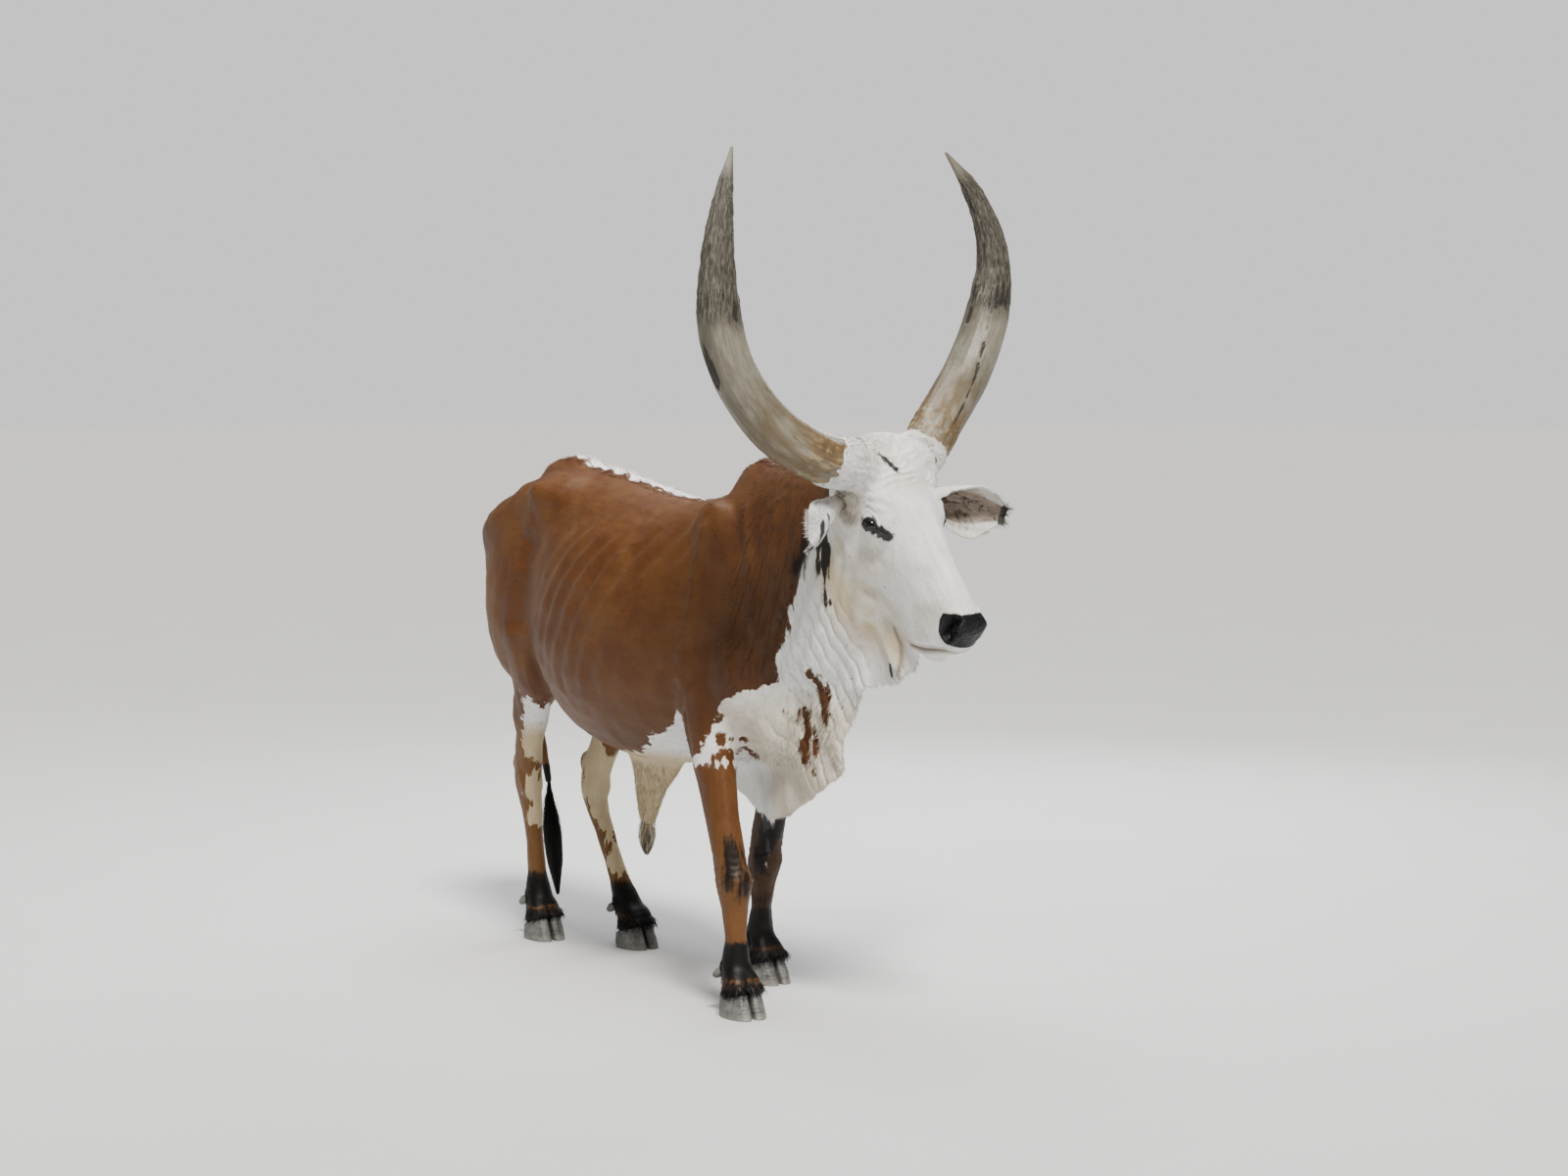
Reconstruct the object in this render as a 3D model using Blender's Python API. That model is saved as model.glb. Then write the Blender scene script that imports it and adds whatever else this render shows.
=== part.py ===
"""A zebu ox, standing, life size, as closed solids that meet with hairline gaps.

Metres. The animal faces -Y, its left side is +X and the floor is z = 0.
The flesh is modelled whole from lofts and ellipsoids, then parted by thin cuts.
"""

import math
import random

import bmesh
import bpy
import numpy as np
from mathutils import Matrix, Vector

# Hairline gap between solids that touch, and the grid on which flesh is fused.
GAP = 0.0003
FLESH_VOXEL = 0.008
EAR_VOXEL = 0.0022
WELD = 0.00004

# Triangles kept in each zone of the flesh.
HEAD_FACES = 1900
FOOT_FACES = 900
BODY_FACES = 3500

# Head: its turn, pitch and tilt, and where the poll is.
HEAD_TURN = math.radians(9)
HEAD_PITCH = math.radians(54.5)
HEAD_TILT = math.radians(3)
POLL_AHEAD = 0.86
POLL_HEIGHT = 1.397
EYE_RADIUS = 0.0210
EAR_LENGTH = 0.212

# Feet: where each hoof stands, and the two claws that make it.
CLAW_LENGTH = 0.110
CLAW_WIDTH = 0.049
CLAW_HEIGHT = 0.062
HEEL_HEIGHT = 0.036
CLEFT = 0.005

SEED = 7


def at(side, ahead, up):
    """A point from its distance to the animal's left, ahead and up."""
    return Vector((side, -ahead, up))


def head_frame():
    """Matrix whose axes are the head's left, out of the face, and down the nose."""
    ahead = Vector((math.sin(HEAD_TURN), -math.cos(HEAD_TURN), 0))
    left = Vector((math.cos(HEAD_TURN), math.sin(HEAD_TURN), 0))
    left = (left * math.cos(HEAD_TILT) + Vector((0, 0, math.sin(HEAD_TILT)))).normalized()
    along = ahead * math.cos(HEAD_PITCH) - Vector((0, 0, math.sin(HEAD_PITCH)))
    along = (along - left * along.dot(left)).normalized()
    out = along.cross(left)
    frame = Matrix((left, out, along)).transposed().to_4x4()
    frame.translation = at(0.0, POLL_AHEAD, POLL_HEIGHT)
    return frame


HEAD = head_frame()
BODY = Matrix.Identity(4)


def on_head(side, out, along):
    """A point on the head: to its left, out of the face, and down from the poll."""
    return HEAD @ Vector((side, out, along))


def material(name, colour, roughness):
    """A plain surface material."""
    made = bpy.data.materials.new(name)
    made.use_nodes = True
    shader = made.node_tree.nodes["Principled BSDF"]
    shader.inputs["Base Color"].default_value = (*colour, 1)
    shader.inputs["Roughness"].default_value = roughness
    shader.inputs["Metallic"].default_value = 0.0
    return made


def new_object(name, points, faces):
    """An object from points and faces, with its faces turned outwards."""
    mesh = bpy.data.meshes.new(name)
    mesh.from_pydata([tuple(p) for p in points], [], faces)
    made = bpy.data.objects.new(name, mesh)
    bpy.context.collection.objects.link(made)
    face_out(made)
    return made


def face_out(item):
    """Turn every face outwards."""
    work = bmesh.new()
    work.from_mesh(item.data)
    bmesh.ops.recalc_face_normals(work, faces=work.faces)
    work.to_mesh(item.data)
    work.free()


def remove(item):
    """Take an object and its mesh out of the file."""
    mesh = item.data
    bpy.data.objects.remove(item, do_unlink=True)
    if mesh is not None and mesh.users == 0:
        bpy.data.meshes.remove(mesh)


def apply_modifiers(item):
    """Bake an object's modifiers into its mesh."""
    bpy.context.view_layer.update()
    graph = bpy.context.evaluated_depsgraph_get()
    baked = bpy.data.meshes.new_from_object(item.evaluated_get(graph))
    item.modifiers.clear()
    item.data = baked


def keep_largest(item):
    """Keep the largest closed surface and drop the rest."""
    work = bmesh.new()
    work.from_mesh(item.data)
    left = set(work.verts)
    groups = []
    while left:
        stack = [left.pop()]
        group = set(stack)
        while stack:
            for edge in stack.pop().link_edges:
                for vert in edge.verts:
                    if vert not in group:
                        group.add(vert)
                        stack.append(vert)
        left -= group
        groups.append(group)
    groups.sort(key=len)
    for group in groups[:-1]:
        bmesh.ops.delete(work, geom=list(group), context="VERTS")
    work.to_mesh(item.data)
    work.free()


def boolean(item, other, operation, solver="EXACT"):
    """Join another closed shape to an object, or cut it away, and drop that shape."""
    step = item.modifiers.new("step", "BOOLEAN")
    step.operation = operation
    step.solver = solver
    step.object = other
    apply_modifiers(item)
    remove(other)


def union_all(item, others):
    """Fuse a list of closed shapes into an object by one union."""
    group = bpy.data.collections.new(item.name + "_pieces")
    bpy.context.scene.collection.children.link(group)
    for other in others:
        group.objects.link(other)
    step = item.modifiers.new("fuse", "BOOLEAN")
    step.operation = "UNION"
    step.operand_type = "COLLECTION"
    step.collection = group
    step.solver = "EXACT"
    apply_modifiers(item)
    for other in others:
        remove(other)
    bpy.data.collections.remove(group)
    keep_largest(item)


def catmull_rom(rows, count):
    """Rows of numbers spread along a smooth curve through the given rows."""
    rows = np.array(rows, dtype=float)
    padded = np.vstack((2 * rows[0] - rows[1], rows, 2 * rows[-1] - rows[-2]))
    spread = np.linspace(0, len(rows) - 1, count)
    out = []
    for value in spread:
        index = min(int(value), len(rows) - 2)
        t = value - index
        a, b, c, d = padded[index:index + 4]
        out.append(0.5 * (2 * b + (c - a) * t + (2 * a - 5 * b + 4 * c - d) * t * t
                          + (3 * b - a - 3 * c + d) * t ** 3))
    return out


def section(centre, across, rise, half_width, above, below, squareness, count):
    """Points round one cross-section, which may be taller above its centre than below."""
    points = []
    for step in range(count):
        angle = 2 * math.pi * step / count
        cos = math.cos(angle)
        sin = math.sin(angle)
        height = above if sin >= 0 else below
        wide = half_width * math.copysign(abs(cos) ** squareness, cos)
        tall = height * math.copysign(abs(sin) ** squareness, sin)
        points.append(centre + across * wide + rise * tall)
    return points


def loft(name, rings):
    """A closed solid through rings of equal count, with flat ends."""
    count = len(rings[0])
    points = [point for ring in rings for point in ring]
    faces = []
    for row in range(len(rings) - 1):
        for step in range(count):
            after = (step + 1) % count
            low = row * count
            faces.append((low + step, low + after, low + count + after, low + count + step))
    faces.append(tuple(reversed(range(count))))
    faces.append(tuple(range(len(points) - count, len(points))))
    return new_object(name, points, faces)


def tube(name, rows, count=14, steps=None, across=None):
    """A tapering limb through rows of side, ahead, up, half width and half depth."""
    if steps is None:
        steps = 3 * len(rows)
    rows = catmull_rom(rows, steps)
    across = across or Vector((1, 0, 0))
    rings = []
    for index, row in enumerate(rows):
        before = rows[max(index - 1, 0)]
        after = rows[min(index + 1, len(rows) - 1)]
        tangent = (at(*after[:3]) - at(*before[:3])).normalized()
        wide = (across - tangent * across.dot(tangent)).normalized()
        deep = tangent.cross(wide)
        rings.append(section(at(*row[:3]), wide, deep, row[3], row[4], row[4], 1.0, count))
    return loft(name, rings)


def ball(name, frame, centre, radii, turn=(0, 0, 0), segments=24):
    """An ellipsoid set in a frame, with its own turn in degrees."""
    mesh = bpy.data.meshes.new(name)
    work = bmesh.new()
    bmesh.ops.create_uvsphere(work, u_segments=segments, v_segments=segments // 2, radius=1)
    spin = Matrix.Rotation(math.radians(turn[2]), 4, "Z")
    spin = spin @ Matrix.Rotation(math.radians(turn[1]), 4, "Y")
    spin = spin @ Matrix.Rotation(math.radians(turn[0]), 4, "X")
    place = frame @ Matrix.Translation(Vector(centre)) @ spin @ Matrix.Diagonal((*radii, 1))
    bmesh.ops.transform(work, matrix=place, verts=work.verts)
    bmesh.ops.recalc_face_normals(work, faces=work.faces)
    work.to_mesh(mesh)
    work.free()
    made = bpy.data.objects.new(name, mesh)
    bpy.context.collection.objects.link(made)
    return made


def body_ball(name, side, ahead, up, radii, turn=(0, 0, 0)):
    """An ellipsoid placed by side, ahead and up, sized across, along and up."""
    return ball(name, BODY, at(side, ahead, up), radii, turn)


def barrel():
    """Trunk from the pin bones to the brisket."""
    # ahead, top, bottom, half width, height of the widest line, squareness
    rows = [
        (-0.885, 1.090, 0.960, 0.062, 1.03, 1.00),
        (-0.840, 1.145, 0.840, 0.118, 1.02, 1.00),
        (-0.760, 1.205, 0.750, 0.150, 1.00, 1.00),
        (-0.640, 1.275, 0.710, 0.160, 0.97, 1.00),
        (-0.500, 1.298, 0.640, 0.180, 0.92, 1.05),
        (-0.380, 1.282, 0.590, 0.225, 0.87, 1.00),
        (-0.240, 1.262, 0.560, 0.262, 0.85, 0.95),
        (-0.080, 1.238, 0.548, 0.276, 0.84, 0.93),
        (0.080, 1.222, 0.555, 0.260, 0.85, 0.95),
        (0.220, 1.240, 0.570, 0.222, 0.86, 1.00),
        (0.340, 1.275, 0.575, 0.186, 0.87, 1.02),
        (0.450, 1.265, 0.590, 0.162, 0.88, 1.00),
        (0.540, 1.210, 0.640, 0.132, 0.90, 1.00),
    ]
    rings = []
    for ahead, top, bottom, half, mid, square in catmull_rom(rows, 40):
        centre = at(0, ahead, mid)
        rings.append(section(centre, Vector((1, 0, 0)), Vector((0, 0, 1)), half,
                             top - mid, mid - bottom, square, 32))
    return loft("barrel", rings)


def neck_trunk():
    """Deep short neck from the withers to the head."""
    # side, ahead, up of the middle, then half width and half height
    rows = [
        (0.000, 0.300, 0.990, 0.150, 0.290),
        (0.000, 0.440, 1.010, 0.140, 0.310),
        (0.004, 0.570, 1.050, 0.122, 0.285),
        (0.012, 0.690, 1.110, 0.104, 0.240),
        (0.016, 0.790, 1.170, 0.090, 0.200),
    ]
    rings = []
    for side, ahead, up, half, tall in catmull_rom(rows, 16):
        lean = min(1.0, max(0.0, (ahead - 0.30) / 0.50))
        rise = Vector((0, 0.45 * lean, 1)).normalized()
        rings.append(section(at(side, ahead, up), Vector((1, 0, 0)), rise,
                             half, tall, tall, 0.95, 24))
    return loft("neck_trunk", rings)


def back_bones():
    """Hump, spine, hook bones, pin bones and sacrum under a thin hide."""
    pieces = [
        body_ball("hump", 0, 0.410, 1.232, (0.076, 0.150, 0.096), (14, 0, 0)),
        body_ball("hump_peak", 0, 0.400, 1.285, (0.044, 0.085, 0.055), (10, 0, 0)),
        body_ball("sacrum", 0, -0.560, 1.270, (0.060, 0.130, 0.042), (-4, 0, 0)),
    ]
    for index in range(5):
        ahead = -0.36 + 0.072 * index
        up = 1.274 - 0.0145 * index
        pieces.append(body_ball("spine", 0, ahead, up, (0.024, 0.024, 0.024)))
    for side in (-1, 1):
        pieces.append(body_ball("hook", side * 0.130, -0.478, 1.208, (0.046, 0.070, 0.050),
                                (0, side * 30, 0)))
        pieces.append(body_ball("hip", side * 0.108, -0.490, 1.145, (0.064, 0.110, 0.095)))
        pieces.append(body_ball("croup", side * 0.088, -0.590, 1.170, (0.074, 0.120, 0.082),
                                (-14, side * 14, 0)))
        pieces.append(body_ball("loin", side * 0.070, -0.470, 1.222, (0.100, 0.150, 0.056),
                                (0, side * 12, 0)))
        pieces.append(body_ball("rump", side * 0.085, -0.680, 1.120, (0.088, 0.190, 0.095),
                                (-16, 0, 0)))
        pieces.append(body_ball("pin", side * 0.074, -0.845, 1.070, (0.042, 0.048, 0.052)))
    return pieces


def shoulder_muscles(side):
    """Shoulder blade, shoulder point, breast and the muscle above the elbow."""
    return [
        body_ball("blade", side * 0.104, 0.345, 1.000, (0.058, 0.135, 0.240), (-12, side * 4, 0)),
        body_ball("point", side * 0.132, 0.440, 0.820, (0.062, 0.085, 0.120)),
        body_ball("triceps", side * 0.148, 0.330, 0.780, (0.056, 0.110, 0.160), (-18, 0, 0)),
        body_ball("breast", side * 0.055, 0.500, 0.740, (0.075, 0.075, 0.120)),
    ]


def thigh_muscles(side, stifle_ahead, swing, ham):
    """Thigh, buttock and the fold of the flank, swung forward with the leg."""
    return [
        body_ball("thigh", side * 0.110, -0.630 + swing, 0.950, (0.082, 0.175, 0.250), (8, 0, 0)),
        body_ball("buttock", side * 0.078, -0.735, 1.120 - ham, (0.066, 0.100, ham), (-6, 0, 0)),
        body_ball("stifle", side * 0.130, stifle_ahead - 0.04, 0.770, (0.056, 0.095, 0.115),
                  (-20, 0, 0)),
    ]


# Limb routes: side, ahead, up, half width, half depth.
FORE_RIGHT = [
    (-0.150, 0.335, 0.780, 0.062, 0.095),
    (-0.156, 0.352, 0.680, 0.056, 0.078),
    (-0.160, 0.385, 0.580, 0.048, 0.062),
    (-0.163, 0.425, 0.460, 0.040, 0.049),
    (-0.162, 0.452, 0.370, 0.040, 0.046),
    (-0.160, 0.466, 0.310, 0.043, 0.046),
    (-0.158, 0.468, 0.250, 0.033, 0.034),
    (-0.157, 0.470, 0.190, 0.028, 0.030),
    (-0.156, 0.470, 0.150, 0.032, 0.036),
    (-0.156, 0.468, 0.118, 0.037, 0.042),
    (-0.157, 0.480, 0.085, 0.040, 0.042),
    (-0.158, 0.494, 0.060, 0.047, 0.046),
    (-0.159, 0.504, 0.030, 0.047, 0.046),
]
FORE_LEFT = [
    (0.148, 0.330, 0.780, 0.062, 0.095),
    (0.130, 0.318, 0.680, 0.056, 0.078),
    (0.112, 0.285, 0.580, 0.048, 0.062),
    (0.104, 0.240, 0.460, 0.040, 0.049),
    (0.106, 0.210, 0.370, 0.040, 0.046),
    (0.108, 0.194, 0.305, 0.043, 0.046),
    (0.114, 0.178, 0.245, 0.033, 0.034),
    (0.118, 0.166, 0.190, 0.028, 0.030),
    (0.122, 0.157, 0.150, 0.032, 0.036),
    (0.124, 0.152, 0.118, 0.037, 0.042),
    (0.126, 0.160, 0.085, 0.040, 0.042),
    (0.128, 0.172, 0.060, 0.047, 0.046),
    (0.128, 0.182, 0.030, 0.047, 0.046),
]
HIND_RIGHT = [
    (-0.128, -0.560, 0.860, 0.070, 0.130),
    (-0.122, -0.560, 0.760, 0.058, 0.105),
    (-0.104, -0.610, 0.650, 0.043, 0.072),
    (-0.082, -0.665, 0.550, 0.035, 0.054),
    (-0.066, -0.700, 0.470, 0.034, 0.054),
    (-0.058, -0.712, 0.415, 0.033, 0.050),
    (-0.052, -0.706, 0.350, 0.027, 0.036),
    (-0.047, -0.700, 0.260, 0.024, 0.030),
    (-0.043, -0.696, 0.180, 0.026, 0.032),
    (-0.041, -0.692, 0.125, 0.036, 0.041),
    (-0.041, -0.680, 0.088, 0.038, 0.041),
    (-0.042, -0.666, 0.060, 0.045, 0.045),
    (-0.043, -0.656, 0.030, 0.045, 0.045),
]
HIND_LEFT = [
    (0.128, -0.520, 0.860, 0.070, 0.130),
    (0.124, -0.480, 0.760, 0.058, 0.105),
    (0.108, -0.500, 0.650, 0.043, 0.072),
    (0.092, -0.545, 0.550, 0.035, 0.054),
    (0.080, -0.580, 0.465, 0.034, 0.054),
    (0.076, -0.588, 0.405, 0.033, 0.050),
    (0.080, -0.565, 0.340, 0.027, 0.036),
    (0.087, -0.525, 0.250, 0.024, 0.030),
    (0.094, -0.490, 0.175, 0.026, 0.032),
    (0.098, -0.462, 0.122, 0.036, 0.041),
    (0.100, -0.440, 0.086, 0.038, 0.041),
    (0.101, -0.420, 0.060, 0.045, 0.045),
    (0.101, -0.408, 0.030, 0.045, 0.045),
]
LIMBS = {
    "foreleg_right": FORE_RIGHT,
    "foreleg_left": FORE_LEFT,
    "hindleg_right": HIND_RIGHT,
    "hindleg_left": HIND_LEFT,
}
# Height at which the upper leg parts from the trunk, and from the lower leg.
LEG_ROOT = {"foreleg_right": 0.612, "foreleg_left": 0.585,
            "hindleg_right": 0.632, "hindleg_left": 0.632}
LEG_MIDDLE = {"foreleg_right": 0.262, "foreleg_left": 0.256,
              "hindleg_right": 0.372, "hindleg_left": 0.362}
ROOT_TILT = math.radians(42)


def row_at_height(rows, up):
    """Values along a limb where it passes a height."""
    fine = catmull_rom(rows, 200)
    return min(fine, key=lambda row: abs(row[2] - up))


def leg_flesh(name, rows):
    """A leg with its joints, tendons and the two lobes above the claws."""
    pieces = [tube(name, rows, count=18, steps=44)]
    hind = name.startswith("hind")
    if hind:
        hock = row_at_height(rows, 0.455)
        pieces.append(body_ball("hock_point", hock[0], hock[1] - 0.050, 0.478,
                                (0.019, 0.024, 0.036), (12, 0, 0)))
        pieces.append(body_ball("hock_front", hock[0], hock[1] + 0.018, 0.420,
                                (0.034, 0.030, 0.045)))
        calf = row_at_height(rows, 0.640)
        pieces.append(body_ball("calf", calf[0], calf[1] - 0.025, 0.650,
                                (0.038, 0.050, 0.095), (24, 0, 0)))
    else:
        knee = row_at_height(rows, 0.315)
        pieces.append(body_ball("knee", knee[0], knee[1] + 0.010, 0.322,
                                (0.044, 0.040, 0.050)))
        pieces.append(body_ball("knee_back", knee[0], knee[1] - 0.026, 0.300,
                                (0.020, 0.022, 0.032)))
    fetlock = row_at_height(rows, 0.125)
    pieces.append(body_ball("fetlock", fetlock[0], fetlock[1], 0.126, (0.037, 0.036, 0.028)))
    low = row_at_height(rows, 0.052)
    for lobe in (-1, 1):
        pieces.append(body_ball("coronet", low[0] + lobe * 0.025, low[1] + 0.006, 0.060,
                                (0.0275, 0.046, 0.024), (-14, 0, 0)))
        pieces.append(body_ball("pastern", low[0] + lobe * 0.020, low[1] - 0.004, 0.084,
                                (0.024, 0.038, 0.030)))
    return pieces


def head_flesh():
    """Skull, brows, cheeks, muzzle, lips and chin."""
    # along, half width, top, bottom, middle, squareness
    rows = [
        (-0.026, 0.060, -0.046, -0.170, -0.10, 1.00),
        (0.008, 0.088, -0.012, -0.200, -0.09, 0.88),
        (0.060, 0.096, 0.004, -0.230, -0.09, 0.84),
        (0.120, 0.098, 0.009, -0.250, -0.09, 0.86),
        (0.180, 0.098, 0.006, -0.262, -0.08, 0.90),
        (0.240, 0.084, 0.000, -0.266, -0.08, 0.98),
        (0.300, 0.068, -0.004, -0.258, -0.08, 1.04),
        (0.360, 0.056, -0.009, -0.240, -0.08, 1.04),
        (0.415, 0.050, -0.011, -0.228, -0.08, 0.88),
        (0.455, 0.050, -0.014, -0.210, -0.08, 0.76),
        (0.485, 0.049, -0.020, -0.184, -0.08, 0.76),
        (0.506, 0.043, -0.030, -0.158, -0.08, 0.82),
        (0.518, 0.032, -0.046, -0.124, -0.08, 0.92),
    ]
    left = HEAD.col[0].to_3d()
    out = HEAD.col[1].to_3d()
    rings = []
    for along, half, top, bottom, mid, square in catmull_rom(rows, 36):
        rings.append(section(on_head(0, mid, along), left, out, half,
                             top - mid, mid - bottom, square, 32))
    pieces = [loft("skull", rings)]
    pieces.append(ball("poll", HEAD, (0, -0.036, 0.008), (0.098, 0.038, 0.038)))
    pieces.append(ball("chin", HEAD, (0, -0.168, 0.472), (0.038, 0.026, 0.040)))
    pieces.append(ball("lip", HEAD, (0, -0.088, 0.494), (0.050, 0.040, 0.036)))
    pieces.append(ball("boss", HEAD, (-0.092, -0.044, 0.052), (0.050, 0.060, 0.060)))
    pieces.append(ball("boss", HEAD, (0.092, -0.044, 0.040), (0.052, 0.062, 0.062)))
    pieces.append(ball("temple", HEAD, (0.098, -0.070, 0.080), (0.052, 0.058, 0.066)))
    for side in (-1, 1):
        pieces.append(ball("brow", HEAD, (side * 0.078, -0.040, 0.168), (0.036, 0.030, 0.050),
                           (0, side * 10, 0)))
        pieces.append(ball("orbit", HEAD, (side * 0.091, -0.068, 0.190), (0.033, 0.038, 0.046)))
        pieces.append(ball("cheek", HEAD, (side * 0.058, -0.165, 0.200), (0.036, 0.070, 0.085)))
        pieces.append(ball("nostril_rim", HEAD, (side * 0.030, -0.053, 0.482),
                           (0.025, 0.032, 0.034)))
        pieces.append(ball("ear_base", HEAD, (side * 0.092, -0.102, 0.085),
                           (0.034, 0.034, 0.036)))
    return pieces


def dewlap_rows():
    """Root and edge of the dewlap from the throat to the breast, with its thickness."""
    # root side, root ahead, root up, edge side, edge ahead, edge up, half thickness at root
    return [
        (0.024, 0.905, 0.975, 0.030, 0.948, 0.885, 0.012),
        (0.020, 0.860, 0.975, 0.030, 0.935, 0.842, 0.016),
        (0.016, 0.800, 0.980, 0.022, 0.880, 0.808, 0.020),
        (0.012, 0.740, 0.960, 0.014, 0.800, 0.796, 0.024),
        (0.008, 0.680, 0.920, 0.008, 0.738, 0.742, 0.028),
        (0.004, 0.620, 0.860, 0.000, 0.712, 0.670, 0.032),
        (0.000, 0.560, 0.800, -0.006, 0.700, 0.600, 0.036),
        (0.000, 0.500, 0.740, -0.004, 0.650, 0.548, 0.038),
        (0.000, 0.440, 0.690, 0.000, 0.560, 0.515, 0.038),
        (0.000, 0.380, 0.660, 0.000, 0.450, 0.452, 0.034),
        (0.000, 0.310, 0.640, 0.000, 0.340, 0.448, 0.030),
        (0.000, 0.240, 0.620, 0.000, 0.235, 0.505, 0.024),
        (0.000, 0.160, 0.600, 0.000, 0.130, 0.548, 0.016),
    ]


def dewlap_sheet():
    """Hanging fold of skin, thick at its root, wavy and thin at its edge."""
    rings = []
    count = 18
    for index, row in enumerate(catmull_rom(dewlap_rows(), 64)):
        root = at(*row[0:3])
        edge = at(*row[3:6])
        ring = []
        for step in range(count):
            angle = 2 * math.pi * step / count
            depth = 0.5 - 0.5 * math.cos(angle)
            thick = row[6] * (1 - 0.72 * depth) + 0.0035
            wave = 0.013 * depth * math.sin(index * 0.62) + 0.006 * depth * math.sin(index * 1.37)
            offset = thick * math.copysign(abs(math.sin(angle)) ** 0.7, math.sin(angle))
            ring.append(root.lerp(edge, depth) + Vector((offset + wave, 0, 0)))
        rings.append(ring)
    return loft("dewlap_sheet", rings)


def sheath_flesh():
    """Hanging sheath under the belly."""
    rows = [
        (0.0, -0.150, 0.590, 0.050, 0.150),
        (0.0, -0.160, 0.540, 0.040, 0.118),
        (0.0, -0.172, 0.490, 0.030, 0.080),
        (0.0, -0.182, 0.440, 0.025, 0.055),
        (0.0, -0.188, 0.395, 0.021, 0.036),
        (0.0, -0.190, 0.362, 0.014, 0.022),
    ]
    return tube("sheath_flesh", rows, count=16)


def fuse_flesh(pieces):
    """Melt lofts and ellipsoids into one closed skin."""
    whole = pieces[0]
    work = bmesh.new()
    for piece in pieces:
        work.from_mesh(piece.data)
    work.to_mesh(whole.data)
    work.free()
    for piece in pieces[1:]:
        remove(piece)
    whole.name = "flesh"
    remesh = whole.modifiers.new("fuse", "REMESH")
    remesh.mode = "VOXEL"
    remesh.voxel_size = FLESH_VOXEL
    soften = whole.modifiers.new("soften", "SMOOTH")
    soften.factor = 0.5
    soften.iterations = 6
    apply_modifiers(whole)
    keep_largest(whole)
    soften_body(whole)
    return whole


def soften_body(item):
    """Smooth trunk, neck and upper legs more than head and feet."""
    group = item.vertex_groups.new(name="body")
    for vert in item.data.vertices:
        if zone_of(vert.co) == "body":
            group.add([vert.index], min(1.0, max(0.0, (vert.co.z - 0.45) / 0.2)), "REPLACE")
    soften = item.modifiers.new("soften", "SMOOTH")
    soften.vertex_group = "body"
    soften.factor = 0.5
    soften.iterations = 40
    apply_modifiers(item)
    item.vertex_groups.clear()


def rib_relief(points):
    """Height of the ribs at each point of the trunk."""
    side = points[:, 0]
    ahead = -points[:, 1]
    up = points[:, 2]
    slant = ahead - 0.62 * (up - 0.95) - 0.60 * (up - 0.95) ** 2
    ridge = np.sin(2 * math.pi * slant / 0.078)
    along = np.clip((slant + 0.42) / 0.12, 0, 1) * np.clip((0.24 - slant) / 0.12, 0, 1)
    band = np.clip((up - 0.72) / 0.12, 0, 1) * np.clip((1.19 - up) / 0.08, 0, 1)
    flank = np.clip((np.abs(side) - 0.08) / 0.06, 0, 1)
    return 0.0032 * ridge * along * band * flank


def neck_relief(points):
    """Height of the upright folds on the side and front of the neck."""
    ahead = -points[:, 1]
    up = points[:, 2]
    lean = ahead + 0.16 * np.sin(4.0 * up)
    ridge = np.sin(2 * math.pi * lean / 0.046 + 1.2 * np.sin(9 * up))
    place = np.clip((ahead - 0.50) / 0.06, 0, 1) * np.clip((0.86 - ahead) / 0.05, 0, 1)
    band = np.clip((up - 0.62) / 0.10, 0, 1) * np.clip((1.22 - up) / 0.10, 0, 1)
    return 0.0026 * ridge * place * band


def press_relief(item):
    """Push the skin out and in along its normals by the ribs and folds."""
    mesh = item.data
    points = np.empty(len(mesh.vertices) * 3)
    normals = np.empty(len(mesh.vertices) * 3)
    mesh.vertices.foreach_get("co", points)
    mesh.vertices.foreach_get("normal", normals)
    points = points.reshape(-1, 3)
    normals = normals.reshape(-1, 3)
    height = rib_relief(points) + neck_relief(points)
    moved = points + normals * height[:, None]
    mesh.vertices.foreach_set("co", moved.ravel())
    mesh.update()


def zone_of(point):
    """Name of the zone that a point of the flesh is in."""
    local = HEAD.inverted() @ point
    if local.z > -0.06 and point.z > 0.86 and -point.y > 0.80:
        return "head"
    if point.z < 0.150:
        return "foot"
    return "body"


def thin_zone(item, zone, target):
    """Collapse one zone of the flesh to a number of triangles and leave the others."""
    mesh = item.data
    names = [zone_of(vert.co) for vert in mesh.vertices]
    inside = sum(1 for poly in mesh.polygons if all(names[i] == zone for i in poly.vertices))
    total = sum(len(poly.vertices) - 2 for poly in mesh.polygons)
    each = 2 if len(mesh.polygons[0].vertices) == 4 else 1
    group = item.vertex_groups.new(name=zone)
    chosen = [index for index, name in enumerate(names) if name == zone]
    group.add(chosen, 1.0, "REPLACE")
    step = item.modifiers.new("thin", "DECIMATE")
    step.ratio = max(0.01, (total - inside * each + target) / total)
    step.vertex_group = zone
    step.use_collapse_triangulate = True
    apply_modifiers(item)
    item.vertex_groups.clear()


def thin_box(centre, across, along, half_across, half_along):
    """A sheet as thin as the gap, as a cutter."""
    normal = across.cross(along).normalized() * (GAP / 2)
    corners = []
    for lift in (-1, 1):
        for a, b in ((-1, -1), (1, -1), (1, 1), (-1, 1)):
            corners.append(centre + across * a * half_across + along * b * half_along
                           + normal * lift)
    faces = [(0, 1, 2, 3), (7, 6, 5, 4), (0, 4, 5, 1), (1, 5, 6, 2), (2, 6, 7, 3), (3, 7, 4, 0)]
    return new_object("cutter", corners, faces)


def head_cut():
    """Sheet between head and neck, behind the poll and the jaw."""
    top = at(0, 0.752, 1.460)
    low = at(0, 0.808, 0.890)
    along = (low - top).normalized()
    left = HEAD.col[0].to_3d()
    left = (left - along * left.dot(along)).normalized()
    return thin_box((top + low) / 2, left, along, 0.20, (low - top).length / 2)


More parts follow.
